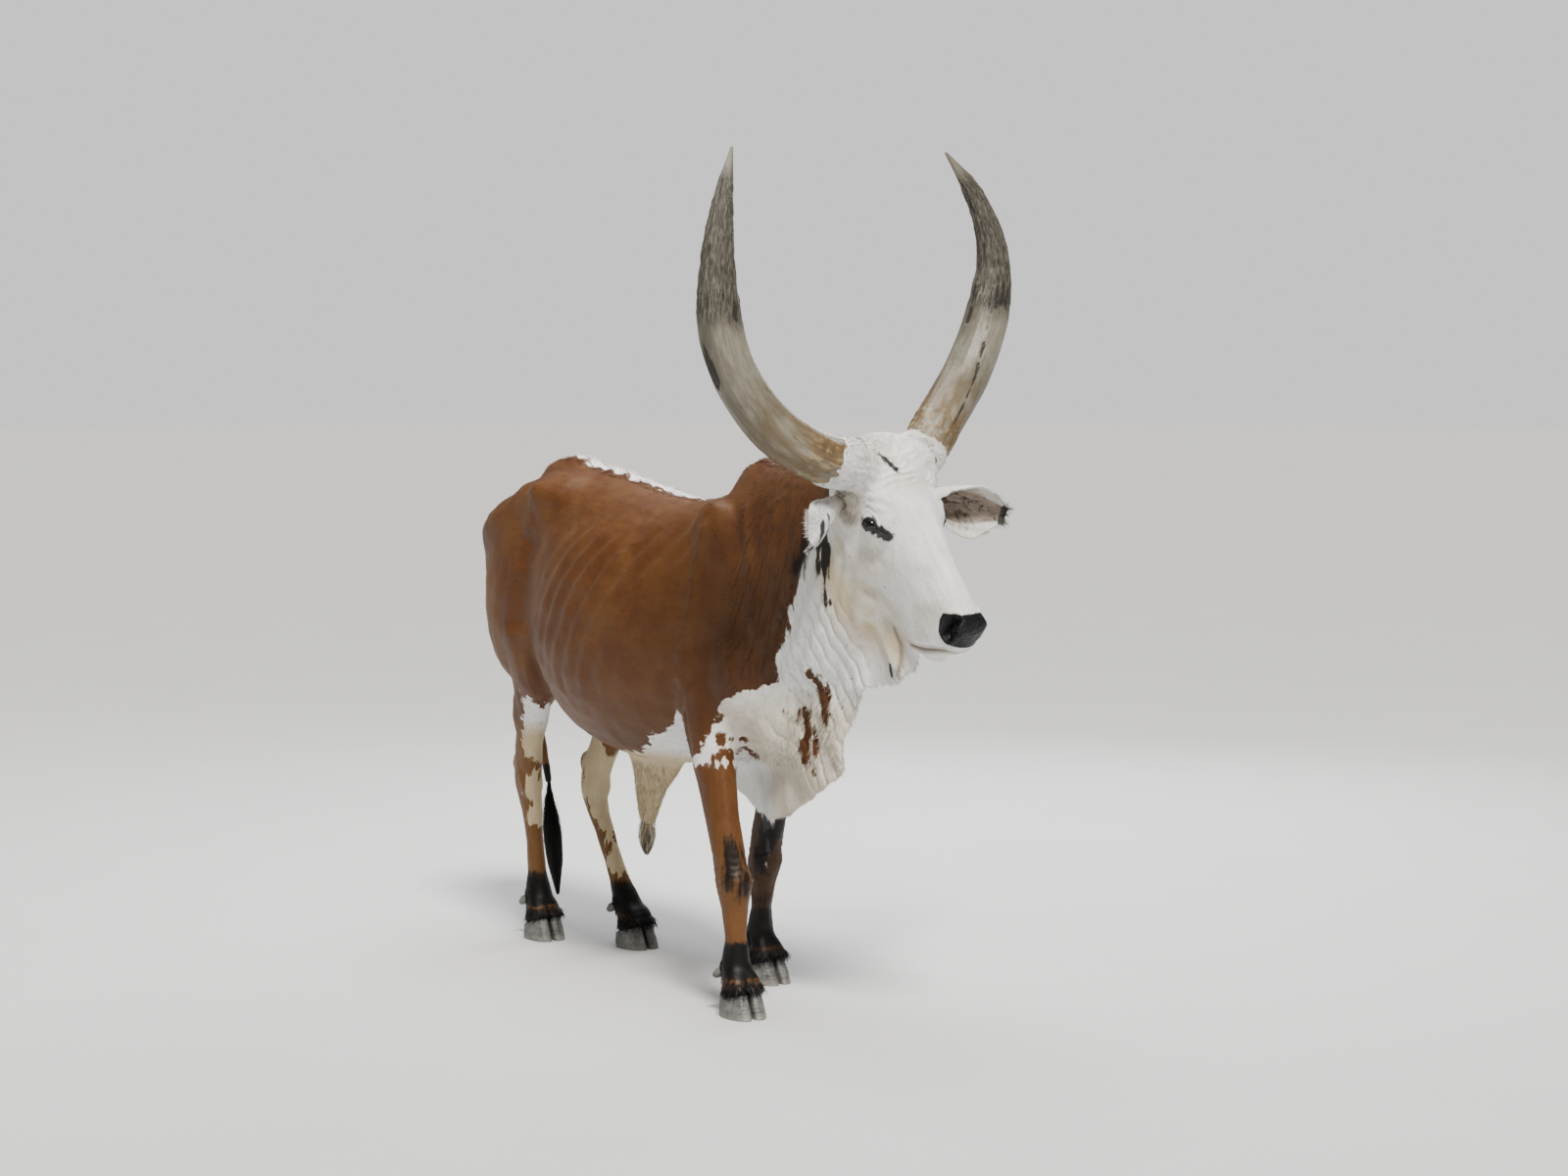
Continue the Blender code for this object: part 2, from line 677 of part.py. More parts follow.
def neck_cut():
    """Sheet between neck and trunk, in front of the shoulders and the hump."""
    top = at(0, 0.520, 1.420)
    low = at(0, 0.606, 0.700)
    along = (low - top).normalized()
    return thin_box((top + low) / 2, Vector((1, 0, 0)), along, 0.26, (low - top).length / 2)


def dewlap_cut():
    """Curved sheet that parts the dewlap from throat, neck and breast."""
    # ahead, up, half width
    rows = [
        (0.962, 0.900, 0.080), (0.920, 0.926, 0.100), (0.870, 0.936, 0.120),
        (0.820, 0.920, 0.130), (0.760, 0.880, 0.150), (0.700, 0.828, 0.160),
        (0.650, 0.766, 0.170), (0.600, 0.704, 0.170), (0.550, 0.650, 0.150),
        (0.500, 0.608, 0.100), (0.430, 0.577, 0.074), (0.360, 0.562, 0.072),
        (0.290, 0.553, 0.072), (0.220, 0.548, 0.072), (0.150, 0.543, 0.072),
        (0.090, 0.536, 0.072),
    ]
    rings = []
    for index, (ahead, up, half) in enumerate(rows):
        before = rows[max(index - 1, 0)]
        after = rows[min(index + 1, len(rows) - 1)]
        tangent = at(0, after[0] - before[0], after[1] - before[1]).normalized()
        normal = tangent.cross(Vector((1, 0, 0))) * (GAP / 2)
        point = at(0, ahead, up)
        wide = Vector((half, 0, 0))
        rings.append([point - wide - normal, point + wide - normal,
                      point + wide + normal, point - wide + normal])
    return loft("cutter", rings)


def leg_cuts(name):
    """Tilted sheet at the root of a leg and a level one at its middle."""
    root = row_at_height(LIMBS[name], LEG_ROOT[name])
    away = 1 if root[0] > 0 else -1
    slope = Vector((away * math.cos(ROOT_TILT), 0, math.sin(ROOT_TILT)))
    middle = row_at_height(LIMBS[name], LEG_MIDDLE[name])
    return [
        thin_box(at(root[0], root[1], LEG_ROOT[name]), slope, Vector((0, 1, 0)), 0.108, 0.150),
        thin_box(at(middle[0], middle[1], LEG_MIDDLE[name]), Vector((1, 0, 0)),
                 Vector((0, 1, 0)), 0.062, 0.095),
    ]


def sheath_cut():
    """Level sheet between belly and sheath."""
    return thin_box(at(0, -0.165, 0.528), Vector((1, 0, 0)), Vector((0, 1, 0)), 0.10, 0.19)


def part_flesh(flesh):
    """Cut the flesh with the sheets and name each solid by a point inside it."""
    cutter = head_cut()
    others = [neck_cut(), dewlap_cut(), sheath_cut()]
    for name in LIMBS:
        others += leg_cuts(name)
    work = bmesh.new()
    for piece in [cutter] + others:
        work.from_mesh(piece.data)
    work.to_mesh(cutter.data)
    work.free()
    for piece in others:
        remove(piece)
    step = flesh.modifiers.new("part", "BOOLEAN")
    step.operation = "DIFFERENCE"
    step.object = cutter
    step.use_self = True
    apply_modifiers(flesh)
    remove(cutter)
    return flesh


def loose_solids(item):
    """Split an object into its closed surfaces, as lists of points and faces."""
    work = bmesh.new()
    work.from_mesh(item.data)
    mark = {}
    groups = []
    for seed in work.verts:
        if seed in mark:
            continue
        label = len(groups)
        groups.append([])
        mark[seed] = label
        stack = [seed]
        while stack:
            for edge in stack.pop().link_edges:
                for vert in edge.verts:
                    if vert not in mark:
                        mark[vert] = label
                        stack.append(vert)
    for face in work.faces:
        groups[mark[face.verts[0]]].append(face)
    solids = []
    for faces in groups:
        index = {}
        points = []
        rows = []
        for face in faces:
            for vert in face.verts:
                if vert not in index:
                    index[vert] = len(points)
                    points.append(vert.co.copy())
            rows.append(tuple(index[vert] for vert in face.verts))
        solids.append((points, rows))
    work.free()
    solids.sort(key=lambda solid: -len(solid[0]))
    return solids


def name_solids(solids):
    """Give each solid the name of the flesh node whose middle lies nearest to its own."""
    spots = {
        "torso": at(0, -0.10, 0.93),
        "neck": at(0, 0.66, 1.08),
        "head": on_head(0, -0.10, 0.22),
        "dewlap": at(0, 0.60, 0.68),
        "sheath": at(0, -0.18, 0.46),
    }
    for name in LIMBS:
        upper = row_at_height(LIMBS[name], (LEG_ROOT[name] + LEG_MIDDLE[name]) / 2)
        lower = row_at_height(LIMBS[name], LEG_MIDDLE[name] / 2 + 0.03)
        spots[name + "_upper"] = at(*upper[:3])
        spots[name + "_lower"] = at(*lower[:3])
    named = {}
    for points, faces in solids:
        low = Vector([min(p[i] for p in points) for i in range(3)])
        high = Vector([max(p[i] for p in points) for i in range(3)])
        middle = (low + high) / 2
        name = min(spots, key=lambda key: (spots[key] - middle).length)
        if name not in named:
            named[name] = new_object(name, points, faces)
    return named


def sole_outline():
    """Outline of one claw's sole, toe ahead, cleft side at zero."""
    return [
        (0.002, 0.440), (0.012, 0.500), (0.026, 0.470), (0.038, 0.330), (0.046, 0.120),
        (0.049, -0.120), (0.046, -0.340), (0.034, -0.470), (0.016, -0.500), (0.003, -0.420),
        (0.000, -0.150), (0.000, 0.180),
    ]


def claw(name, foot, side, toe_out):
    """One claw: a flat sole, a sloping wall and a slanted top under the coronet."""
    turn = Matrix.Rotation(toe_out, 4, "Z")
    rings = []
    for height in (0.0, 0.45, 1.0):
        ring = []
        for across, ahead in sole_outline():
            lift = (HEEL_HEIGHT + (CLAW_HEIGHT - HEEL_HEIGHT) * (ahead + 0.5)) * height
            shrink = 1 - 0.26 * height
            forward = ahead * CLAW_LENGTH * shrink - 0.016 * height
            inner = CLEFT / 2 + 0.001 * height
            width = across * CLAW_WIDTH / 0.049 * (1 - 0.10 * height)
            bulge = 1 + 0.05 * math.sin(math.pi * height)
            local = Vector((side * (inner + width * bulge), -forward, lift))
            ring.append(foot + turn @ local)
        rings.append(ring)
    return loft(name, rings)


def coronet_cutter(foot, toe_out):
    """Block that trims a foot's flesh to just above the slanted tops of its claws."""
    turn = Matrix.Rotation(toe_out, 4, "Z")
    points = []
    reach = 0.12
    for ahead in (-reach, reach):
        lift = HEEL_HEIGHT + (CLAW_HEIGHT - HEEL_HEIGHT) * ((ahead + 0.016) / (CLAW_LENGTH * 0.74) + 0.5)
        for side in (-0.09, 0.09):
            for up in (-0.08, lift + GAP * 1.1):
                points.append(foot + turn @ Vector((side, -ahead, up)))
    faces = [(0, 1, 3, 2), (4, 6, 7, 5), (0, 4, 5, 1), (2, 3, 7, 6), (0, 2, 6, 4), (1, 5, 7, 3)]
    return new_object("cutter", points, faces)


def inflated(item, amount=1.6 * GAP):
    """A copy of an object grown along its normals, to cut the pocket that it sits in."""
    made = item.copy()
    made.data = item.data.copy()
    bpy.context.collection.objects.link(made)
    for vert, normal in zip(made.data.vertices, [v.normal.copy() for v in item.data.vertices]):
        vert.co += normal * amount
    return made


def dewclaw(name, foot_row, side):
    """Small horn behind the fetlock."""
    base = at(foot_row[0] + side * 0.021, foot_row[1] - 0.026, 0.106)
    tip = base + Vector((side * 0.006, 0.030, -0.020))
    axis = (tip - base).normalized()
    across = Vector((1, 0, 0))
    across = (across - axis * across.dot(axis)).normalized()
    rise = axis.cross(across)
    rings = []
    for t, size in ((0.0, 0.013), (0.4, 0.0145), (0.85, 0.010), (1.0, 0.004)):
        rings.append(section(base.lerp(tip, t), across, rise, size, size * 0.85, size * 0.85,
                             1.0, 8))
    return loft(name, rings)


# Horn routes: out from the middle, ahead of the poll, up, radius.
HORN_RIGHT = [
    (0.100, -0.001, 1.334, 0.0530),
    (0.158, -0.003, 1.343, 0.0560),
    (0.230, -0.010, 1.364, 0.0570),
    (0.303, -0.042, 1.413, 0.0562),
    (0.357, -0.073, 1.487, 0.0550),
    (0.403, -0.088, 1.570, 0.0540),
    (0.429, -0.091, 1.660, 0.0510),
    (0.438, -0.089, 1.760, 0.0420),
    (0.430, -0.091, 1.855, 0.0315),
    (0.400, -0.105, 1.955, 0.0190),
    (0.353, -0.134, 2.050, 0.0030),
]
HORN_LEFT = [
    (0.098, 0.000, 1.344, 0.0530),
    (0.160, -0.019, 1.378, 0.0565),
    (0.227, -0.049, 1.425, 0.0575),
    (0.300, -0.073, 1.482, 0.0575),
    (0.358, -0.085, 1.538, 0.0575),
    (0.412, -0.091, 1.622, 0.0555),
    (0.442, -0.090, 1.705, 0.0515),
    (0.454, -0.089, 1.795, 0.0415),
    (0.440, -0.093, 1.885, 0.0320),
    (0.400, -0.112, 1.980, 0.0205),
    (0.338, -0.137, 2.066, 0.0030),
]


def horn(name, side, rows):
    """Long horn: out, up and back in towards its tip."""
    ahead_axis = Vector((math.sin(HEAD_TURN), -math.cos(HEAD_TURN), 0))
    left_axis = Vector((math.cos(HEAD_TURN), math.sin(HEAD_TURN), 0))
    middle = at(0, POLL_AHEAD, 0)
    centres = []
    for reach, ahead, up, radius in catmull_rom(rows, 19):
        centre = middle + left_axis * side * reach + ahead_axis * ahead
        centres.append((centre + Vector((0, 0, up)), radius))
    rings = []
    for index, (centre, radius) in enumerate(centres):
        before = centres[max(index - 1, 0)][0]
        after = centres[min(index + 1, len(centres) - 1)][0]
        tangent = (after - before).normalized()
        wide = (ahead_axis - tangent * ahead_axis.dot(tangent)).normalized()
        rings.append(section(centre, wide, tangent.cross(wide), radius, radius, radius, 1.0, 12))
    return loft(name, rings)


def ear(name, side):
    """Cupped leaf on a short stalk, rooted behind the eye."""
    root = on_head(side * 0.100, -0.112, 0.092)
    if side > 0:
        reach = Vector((0.93, -0.34, -0.20)).normalized()
        opening = Vector((-0.25, -0.88, -0.25))
        length = EAR_LENGTH + 0.034
        widest = 0.049
    else:
        reach = Vector((-0.72, -0.46, -0.55)).normalized()
        opening = Vector((-0.75, 0.35, -0.10))
        length = EAR_LENGTH
        widest = 0.044
    opening = (opening - reach * opening.dot(reach)).normalized()
    across = reach.cross(opening)
    rings = []
    half_points = 9
    rows = 15
    for row in range(rows):
        u = row / (rows - 1)
        half = 0.016 + (widest - 0.016) * math.sin(math.pi * min(1, u * 0.95 + 0.03)) ** 0.9
        half *= 1 - 0.42 * max(0.0, u - 0.72) / 0.28
        curl = math.radians(165 - 95 * min(1, u * 1.5))
        radius = half / curl * 1.9
        thick = 0.0062 - 0.0026 * u
        outer = []
        inner = []
        for step in range(half_points):
            angle = curl * (2 * step / (half_points - 1) - 1)
            spot = root + reach * (length * u) + opening * (0.016 * u * u)
            direction = across * math.sin(angle) - opening * math.cos(angle)
            base = spot + opening * radius
            outer.append(base + direction * (radius + thick / 2))
            inner.append(base + direction * (radius - thick / 2))
        rings.append(outer + list(reversed(inner)))
    leaf = loft(name, rings)
    stalk_rows = [(-0.018, 0.020), (0.0, 0.021), (0.018, 0.019), (0.030, 0.013)]
    stalk_rings = []
    for place, size in stalk_rows:
        centre = root + reach * place + opening * 0.012
        stalk_rings.append(section(centre, across, opening, size, size, size, 1.0, 16))
    stalk = loft("stalk", stalk_rings)
    work = bmesh.new()
    work.from_mesh(leaf.data)
    work.from_mesh(stalk.data)
    work.to_mesh(leaf.data)
    work.free()
    remove(stalk)
    remesh = leaf.modifiers.new("fuse", "REMESH")
    remesh.mode = "VOXEL"
    remesh.voxel_size = EAR_VOXEL
    soften = leaf.modifiers.new("soften", "SMOOTH")
    soften.factor = 0.5
    soften.iterations = 3
    thin = leaf.modifiers.new("thin", "DECIMATE")
    thin.ratio = 0.011
    apply_modifiers(leaf)
    keep_largest(leaf)
    return leaf


def eye_centre(side):
    """Middle of an eyeball."""
    return on_head(side * 0.1040, -0.070, 0.190)


def eye_axes(side):
    """Gaze, up and along axes of an eye's opening."""
    left = HEAD.col[0].to_3d()
    out = HEAD.col[1].to_3d()
    along = HEAD.col[2].to_3d()
    gaze = (left * side * 0.90 + out * 0.34 + along * 0.14).normalized()
    corner = (along * 0.94 - out * 0.26)
    corner = (corner - gaze * corner.dot(gaze)).normalized()
    rise = gaze.cross(corner)
    if rise.dot(out) < 0:
        rise.negate()
    return gaze, corner, rise


def lid_direction(side, turn):
    """Direction from the eye's middle to the rim of its almond opening."""
    gaze, corner, rise = eye_axes(side)
    wide = math.radians(47) * math.cos(turn)
    tall = math.radians(27 if math.sin(turn) > 0 else 21) * math.sin(turn)
    return (gaze + corner * math.tan(wide) + rise * math.tan(tall)).normalized()


def lid_ring(side):
    """Both lids of an eye as one closed rim."""
    centre = eye_centre(side)
    gaze, corner, rise = eye_axes(side)
    count = 18
    sides = 5
    points = []
    for index in range(count):
        turn = 2 * math.pi * index / count
        direction = lid_direction(side, turn)
        nearby = lid_direction(side, turn + 0.05) - lid_direction(side, turn - 0.05)
        flow = nearby.normalized()
        outward = flow.cross(direction).normalized()
        size = 0.0046 if math.sin(turn) > 0 else 0.0036
        middle = centre + direction * (EYE_RADIUS + 0.0008)
        for step in range(sides):
            angle = 2 * math.pi * step / sides
            points.append(middle + (direction * math.cos(angle) + outward * math.sin(angle)) * size)
    faces = []
    for index in range(count):
        nxt = (index + 1) % count
        for step in range(sides):
            after = (step + 1) % sides
            faces.append((index * sides + step, index * sides + after,
                          nxt * sides + after, nxt * sides + step))
    return new_object("lid", points, faces)


def lid_opening(side):
    """Cutter that opens the lids over the eyeball."""
    centre = eye_centre(side)
    rings = []
    for reach in (EYE_RADIUS * 0.6, EYE_RADIUS * 2.2):
        ring = []
        for index in range(20):
            ring.append(centre + lid_direction(side, 2 * math.pi * index / 20) * reach)
        rings.append(ring)
    return loft("cutter", rings)


def eyeball(name, side):
    """Eye as a sphere behind the lids."""
    centre = HEAD.inverted() @ eye_centre(side)
    radii = (EYE_RADIUS, EYE_RADIUS, EYE_RADIUS)
    return ball(name, HEAD, centre, radii, segments=14)


def nostril_cutter(side):
    """Comma of a nostril, slanting in and back."""
    frame = HEAD
    return ball("cutter", frame, (side * 0.052, -0.052, 0.500), (0.016, 0.0095, 0.026),
                (-22, side * 34, side * -24), segments=12)


def mouth_cutter():
    """Thin groove between the lips, from one corner round the front to the other."""
    # side, out, along of the line at the skin
    right = [(-0.055, -0.204, 0.418), (-0.054, -0.190, 0.438), (-0.052, -0.168, 0.462),
             (-0.046, -0.146, 0.486), (-0.028, -0.126, 0.512), (0.0, -0.120, 0.522)]
    route = right + [(-side, out, along) for side, out, along in reversed(right[:-1])]
    rings = []
    half = 0.0016
    for side, out, along in catmull_rom(route, 19):
        inward = Vector((-side, 0, 0.44 - along)).normalized()
        skin = Vector((side, out, along)) - inward * 0.020
        deep = Vector((side, out, along)) + inward * 0.018
        lift = Vector((0, half, half * 0.6))
        rings.append([HEAD @ (skin + lift * 1.6), HEAD @ (deep + lift * 0.3),
                      HEAD @ (deep - lift * 0.3), HEAD @ (skin - lift * 1.6)])
    return loft("cutter", rings)


TAIL_ROWS = [
    (0.000, -0.700, 1.218, 0.032, 0.032),
    (0.000, -0.780, 1.186, 0.032, 0.032),
    (0.002, -0.855, 1.120, 0.028, 0.028),
    (0.006, -0.900, 1.020, 0.024, 0.023),
    (0.020, -0.915, 0.890, 0.020, 0.019),
    (0.045, -0.915, 0.740, 0.017, 0.017),
    (0.075, -0.905, 0.590, 0.014, 0.014),
    (0.096, -0.890, 0.450, 0.012, 0.012),
    (0.104, -0.880, 0.370, 0.010, 0.010),
]


def tail_flesh():
    """Tail from the rump down to the root of its switch."""
    return tube("tail", TAIL_ROWS, count=10, steps=20)


def lock(name, root, way, length, width, thick, bend, across, steps=4):
    """Flat tapered lock of hair that bends along its lie."""
    rings = []
    side = across.normalized()
    spot = root.copy()
    way = way.normalized()
    for index in range(steps + 1):
        u = index / steps
        size = (1 - 0.94 * u ** 1.6) * (0.75 + 0.5 * math.sin(math.pi * min(1, u + 0.15)))
        wide = (side - way * side.dot(way)).normalized()
        deep = way.cross(wide)
        rings.append(section(spot, wide, deep, width * size / 2, thick * size / 2,
                             thick * size / 2, 1.0, 5))
        way = (way + bend * (1 / steps)).normalized()
        spot = spot + way * (length / steps)
    return loft(name, rings)


def tail_switch():
    """Switch of long dark locks round the end of the tail."""
    draw = random.Random(SEED)
    core_rows = [
        (0.103, -0.883, 0.390, 0.013, 0.013),
        (0.104, -0.880, 0.330, 0.022, 0.022),
        (0.108, -0.874, 0.250, 0.027, 0.027),
        (0.112, -0.868, 0.170, 0.021, 0.021),
        (0.116, -0.864, 0.105, 0.006, 0.006),
    ]
    core = tube("tail_switch", core_rows, count=10, steps=9)
    locks = []
    for index in range(9):
        angle = 2.4 * index
        level = 0.335 - 0.125 * (index / 9)
        outward = Vector((math.cos(angle), math.sin(angle), 0))
        root = at(0.105 + 0.02 * (0.335 - level), -0.879, level) + outward * 0.014
        length = min(level - 0.072, 0.155 + 0.05 * draw.random())
        way = outward * 0.32 + Vector((0.06, -0.06, -1))
        bend = outward * (-0.35 - 0.2 * draw.random()) + Vector((0, 0, -0.2))
        locks.append(lock("lock", root, way, length, 0.026, 0.012, bend,
                          outward.cross(Vector((0, 0, 1)))))
    union_all(core, locks)
    return core


def sheath_tuft():
    """Small tuft of locks at the end of the sheath."""
    draw = random.Random(SEED + 1)
    core = tube("sheath_tuft", [
        (0.0, -0.190, 0.372, 0.0100, 0.018),
        (0.0, -0.191, 0.350, 0.0120, 0.020),
        (0.0, -0.192, 0.325, 0.0090, 0.014),
        (0.0, -0.192, 0.305, 0.0030, 0.004),
    ], count=10, steps=8)
    locks = []
    for index in range(7):
        angle = 2.4 * index
        outward = Vector((math.cos(angle) * 0.5, math.sin(angle), 0))
        root = at(0, -0.191, 0.358 - 0.016 * (index % 3)) + outward * 0.009
        way = outward * 0.35 + Vector((0, 0, -1))
        length = 0.050 + 0.018 * draw.random()
        locks.append(lock("lock", root, way, length, 0.015, 0.007, outward * -0.3,
                          outward.cross(Vector((0, 0, 1))), steps=3))
    union_all(core, locks)
    return core


def finish_head(head, eyes, horns, ears):
    """Lids, sockets, nostrils and mouth, then pockets for horns and ears."""
    for side in (-1, 1):
        boolean(head, lid_ring(side), "UNION", "MANIFOLD")
    cutters = [mouth_cutter()]
    for side, eye in zip((-1, 1), eyes):
        cutters += [lid_opening(side), inflated(eye), nostril_cutter(side)]
    cutters += [inflated(piece) for piece in horns + ears]
    for cutter in cutters:
        boolean(head, cutter, "DIFFERENCE", "MANIFOLD")
    keep_largest(head)


def paint(item, colour_name):
    """Give a node its own material."""
    colours = {
        "coat": ((0.27, 0.095, 0.035), 0.55),
        "white": ((0.78, 0.75, 0.70), 0.60),
        "tan": ((0.42, 0.21, 0.09), 0.58),
        "horn": ((0.40, 0.36, 0.28), 0.50),
        "hoof": ((0.11, 0.11, 0.115), 0.55),
        "dark": ((0.030, 0.025, 0.022), 0.60),
        "eye": ((0.012, 0.008, 0.006), 0.08),
    }
    colour, roughness = colours[colour_name]
    item.data.materials.clear()
    item.data.materials.append(material(item.name + "_surface", colour, roughness))


def triangulated(item):
    """Weld the slivers that cuts leave, and split an object's faces into triangles."""
    work = bmesh.new()
    work.from_mesh(item.data)
    bmesh.ops.remove_doubles(work, verts=work.verts, dist=WELD)
    bmesh.ops.dissolve_degenerate(work, edges=work.edges, dist=WELD)
    bmesh.ops.triangulate(work, faces=work.faces)
    work.to_mesh(item.data)
    work.free()


def build_flesh():
    """Whole flesh, thinned zone by zone."""
    pieces = [barrel(), neck_trunk(), dewlap_sheet(), sheath_flesh()]
    pieces += back_bones()
    pieces += head_flesh()
    for side in (-1, 1):
        pieces += shoulder_muscles(side)
    pieces += thigh_muscles(-1, -0.50, 0.0, 0.200)
    pieces += thigh_muscles(1, -0.44, 0.055, 0.165)
    for name, rows in LIMBS.items():
        pieces += leg_flesh(name, rows)
    flesh = fuse_flesh(pieces)
    press_relief(flesh)
    thin_zone(flesh, "body", BODY_FACES)
    thin_zone(flesh, "foot", FOOT_FACES)
    thin_zone(flesh, "head", HEAD_FACES)
    return flesh


def build_feet(nodes):
    """Claws and dewclaws, fitted to each lower leg."""
    made = []
    for name, rows in LIMBS.items():
        lower = nodes[name + "_lower"]
        low = row_at_height(rows, 0.045)
        foot = at(low[0], low[1] + 0.012, 0)
        toe_out = math.radians(4 if low[0] > 0 else -4)
        boolean(lower, coronet_cutter(foot, toe_out), "DIFFERENCE")
        fetlock = row_at_height(rows, 0.110)
        for side in (-1, 1):
            outer = (side > 0) == (low[0] > 0)
            label = "outer" if outer else "inner"
            made.append(claw(name + "_claw_" + label, foot, side, toe_out))
            spur = dewclaw(name + "_dewclaw_" + label, fetlock, side)
            boolean(lower, inflated(spur), "DIFFERENCE")
            made.append(spur)
        keep_largest(lower)
    return made


def centre_on_origin(items):
    """Shift every node so that the middle of the whole box stands over the origin."""
    points = [vert.co for item in items for vert in item.data.vertices]
    shift = Vector((
        -(min(p.x for p in points) + max(p.x for p in points)) / 2,
        -(min(p.y for p in points) + max(p.y for p in points)) / 2,
        0,
    ))
    for item in items:
        item.data.transform(Matrix.Translation(shift))
        item.data.update()


def build():
    """Every node of the ox."""
    for item in list(bpy.data.objects):
        bpy.data.objects.remove(item, do_unlink=True)

    flesh = part_flesh(build_flesh())
    nodes = name_solids(loose_solids(flesh))
    remove(flesh)

    eyes = [eyeball("eye_right", -1), eyeball("eye_left", 1)]
    horns = [horn("horn_right", -1, HORN_RIGHT), horn("horn_left", 1, HORN_LEFT)]
    ears = [ear("ear_right", -1), ear("ear_left", 1)]
    finish_head(nodes["head"], eyes, horns, ears)

    tail = tail_flesh()
    switch = tail_switch()
    tuft = sheath_tuft()
    boolean(nodes["torso"], inflated(tail), "DIFFERENCE")
    boolean(tail, inflated(switch), "DIFFERENCE")
    boolean(nodes["sheath"], inflated(tuft), "DIFFERENCE")
    hard = build_feet(nodes)

    for name, node in nodes.items():
        keep_largest(node)
        paint(node, "white" if name in ("head", "dewlap", "sheath") else
              ("tan" if "leg" in name else "coat"))
    for item in ears:
        paint(item, "white")
    for item in horns:
        paint(item, "horn")
    for item in eyes:
        paint(item, "eye")
    for item in hard:
        paint(item, "hoof")
    paint(tail, "coat")
    keep_largest(tail)
    paint(switch, "dark")
    paint(tuft, "dark")
    for item in bpy.data.objects:
        triangulated(item)
        item.data.shade_smooth()
    centre_on_origin(list(bpy.data.objects))


build()
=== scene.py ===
"""A life-size zebu ox with long upswept horns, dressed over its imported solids.

One skin covers the whole animal. Horns, claws, dewclaws and eyes are pieces of their own. The coat
is fine relief and streaks in the skin's finish, with thin tufts of mesh over all of it, longest along
the edges of the body.
"""
import math

import bmesh
import bpy
import numpy as np
from bpy.props import FloatProperty, FloatVectorProperty, PointerProperty
from mathutils import Matrix, Vector


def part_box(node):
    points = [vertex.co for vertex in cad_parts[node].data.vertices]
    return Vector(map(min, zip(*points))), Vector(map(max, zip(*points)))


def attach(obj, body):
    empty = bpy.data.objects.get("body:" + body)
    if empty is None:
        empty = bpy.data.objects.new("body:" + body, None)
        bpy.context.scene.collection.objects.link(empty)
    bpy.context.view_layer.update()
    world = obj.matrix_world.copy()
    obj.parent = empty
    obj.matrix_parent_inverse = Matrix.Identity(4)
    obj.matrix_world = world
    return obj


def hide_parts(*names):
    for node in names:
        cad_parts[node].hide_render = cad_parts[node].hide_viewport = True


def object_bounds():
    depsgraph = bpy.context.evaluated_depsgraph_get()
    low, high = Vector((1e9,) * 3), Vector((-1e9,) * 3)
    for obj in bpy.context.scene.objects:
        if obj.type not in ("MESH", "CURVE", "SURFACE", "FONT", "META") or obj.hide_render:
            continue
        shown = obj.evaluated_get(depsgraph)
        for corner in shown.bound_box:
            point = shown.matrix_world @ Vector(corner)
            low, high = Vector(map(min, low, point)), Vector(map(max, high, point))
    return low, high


bl_info = {
    "name": "Zebu ox",
    "version": (1, 0, 0),
    "blender": (4, 5, 0),
    "location": "View3D > Sidebar > Zebu",
    "description": "Builds the skin, coat, horns, hooves and eyes of a life-size zebu ox",
    "category": "Add Mesh",
}

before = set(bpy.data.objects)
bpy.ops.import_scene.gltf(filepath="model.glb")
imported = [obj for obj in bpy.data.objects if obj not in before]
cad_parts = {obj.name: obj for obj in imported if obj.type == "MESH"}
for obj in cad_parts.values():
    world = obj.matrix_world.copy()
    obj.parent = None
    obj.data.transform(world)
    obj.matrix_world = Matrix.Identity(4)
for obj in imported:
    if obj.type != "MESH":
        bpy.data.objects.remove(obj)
solid_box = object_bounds()

LEGS = ("foreleg_right", "foreleg_left", "hindleg_right", "hindleg_left")
FLESH = ["torso", "neck", "head", "dewlap", "sheath", "tail"]
FLESH += [leg + part for leg in LEGS for part in ("_upper", "_lower")]
EARS = ("ear_left", "ear_right")
EYES = ("eye_left", "eye_right")
CLAWS = [leg + "_claw_" + side for leg in LEGS for side in ("inner", "outer")]
DEWCLAWS = [leg + "_dewclaw_" + side for leg in LEGS for side in ("inner", "outer")]

# Where the right fore foot's outer claw stands before the part is centred: side and -ahead.
CLAW_STAND = (-0.1845, -0.5094)
HEAD_TURN = math.radians(9.0)
HEAD_PITCH = math.radians(54.5)
HEAD_TILT = math.radians(3.0)
POLL_AHEAD = 0.86
POLL_HEIGHT = 1.397
EYE_RADIUS = 0.0210
EYE_SPOT = (0.104, -0.070, 0.190)
EAR_ROOT = (0.100, -0.112, 0.092)
EAR_ROOT_HALF = 0.016
RIGHT_EAR_SHARE = 0.88
OVERLAP = 0.0004
SEED = 11


def part_shift():
    """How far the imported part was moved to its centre."""
    low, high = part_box("foreleg_right_claw_outer")
    return np.array([(low[0] + high[0]) / 2 - CLAW_STAND[0], (low[1] + high[1]) / 2 - CLAW_STAND[1], 0.0])


SHIFT = part_shift()


def at(side, ahead, up):
    """A place from its distance to the animal's left, ahead and up."""
    return np.array([side, -ahead, up]) + SHIFT


def body_terms(points):
    """Side, ahead and up of many places."""
    moved = points - SHIFT
    return np.stack((moved[:, 0], -moved[:, 1], moved[:, 2]), axis=1)


def unit(vector):
    """The vector, or each row of vectors, made one long."""
    vector = np.asarray(vector, dtype=float)
    size = np.linalg.norm(vector, axis=-1, keepdims=True)
    return vector / np.maximum(size, 1e-9)


def along_skin(way, facing, share=1.0):
    """Ways turned so far along the skin that faces so."""
    return unit(way - facing * (way * facing).sum(axis=1, keepdims=True) * share)


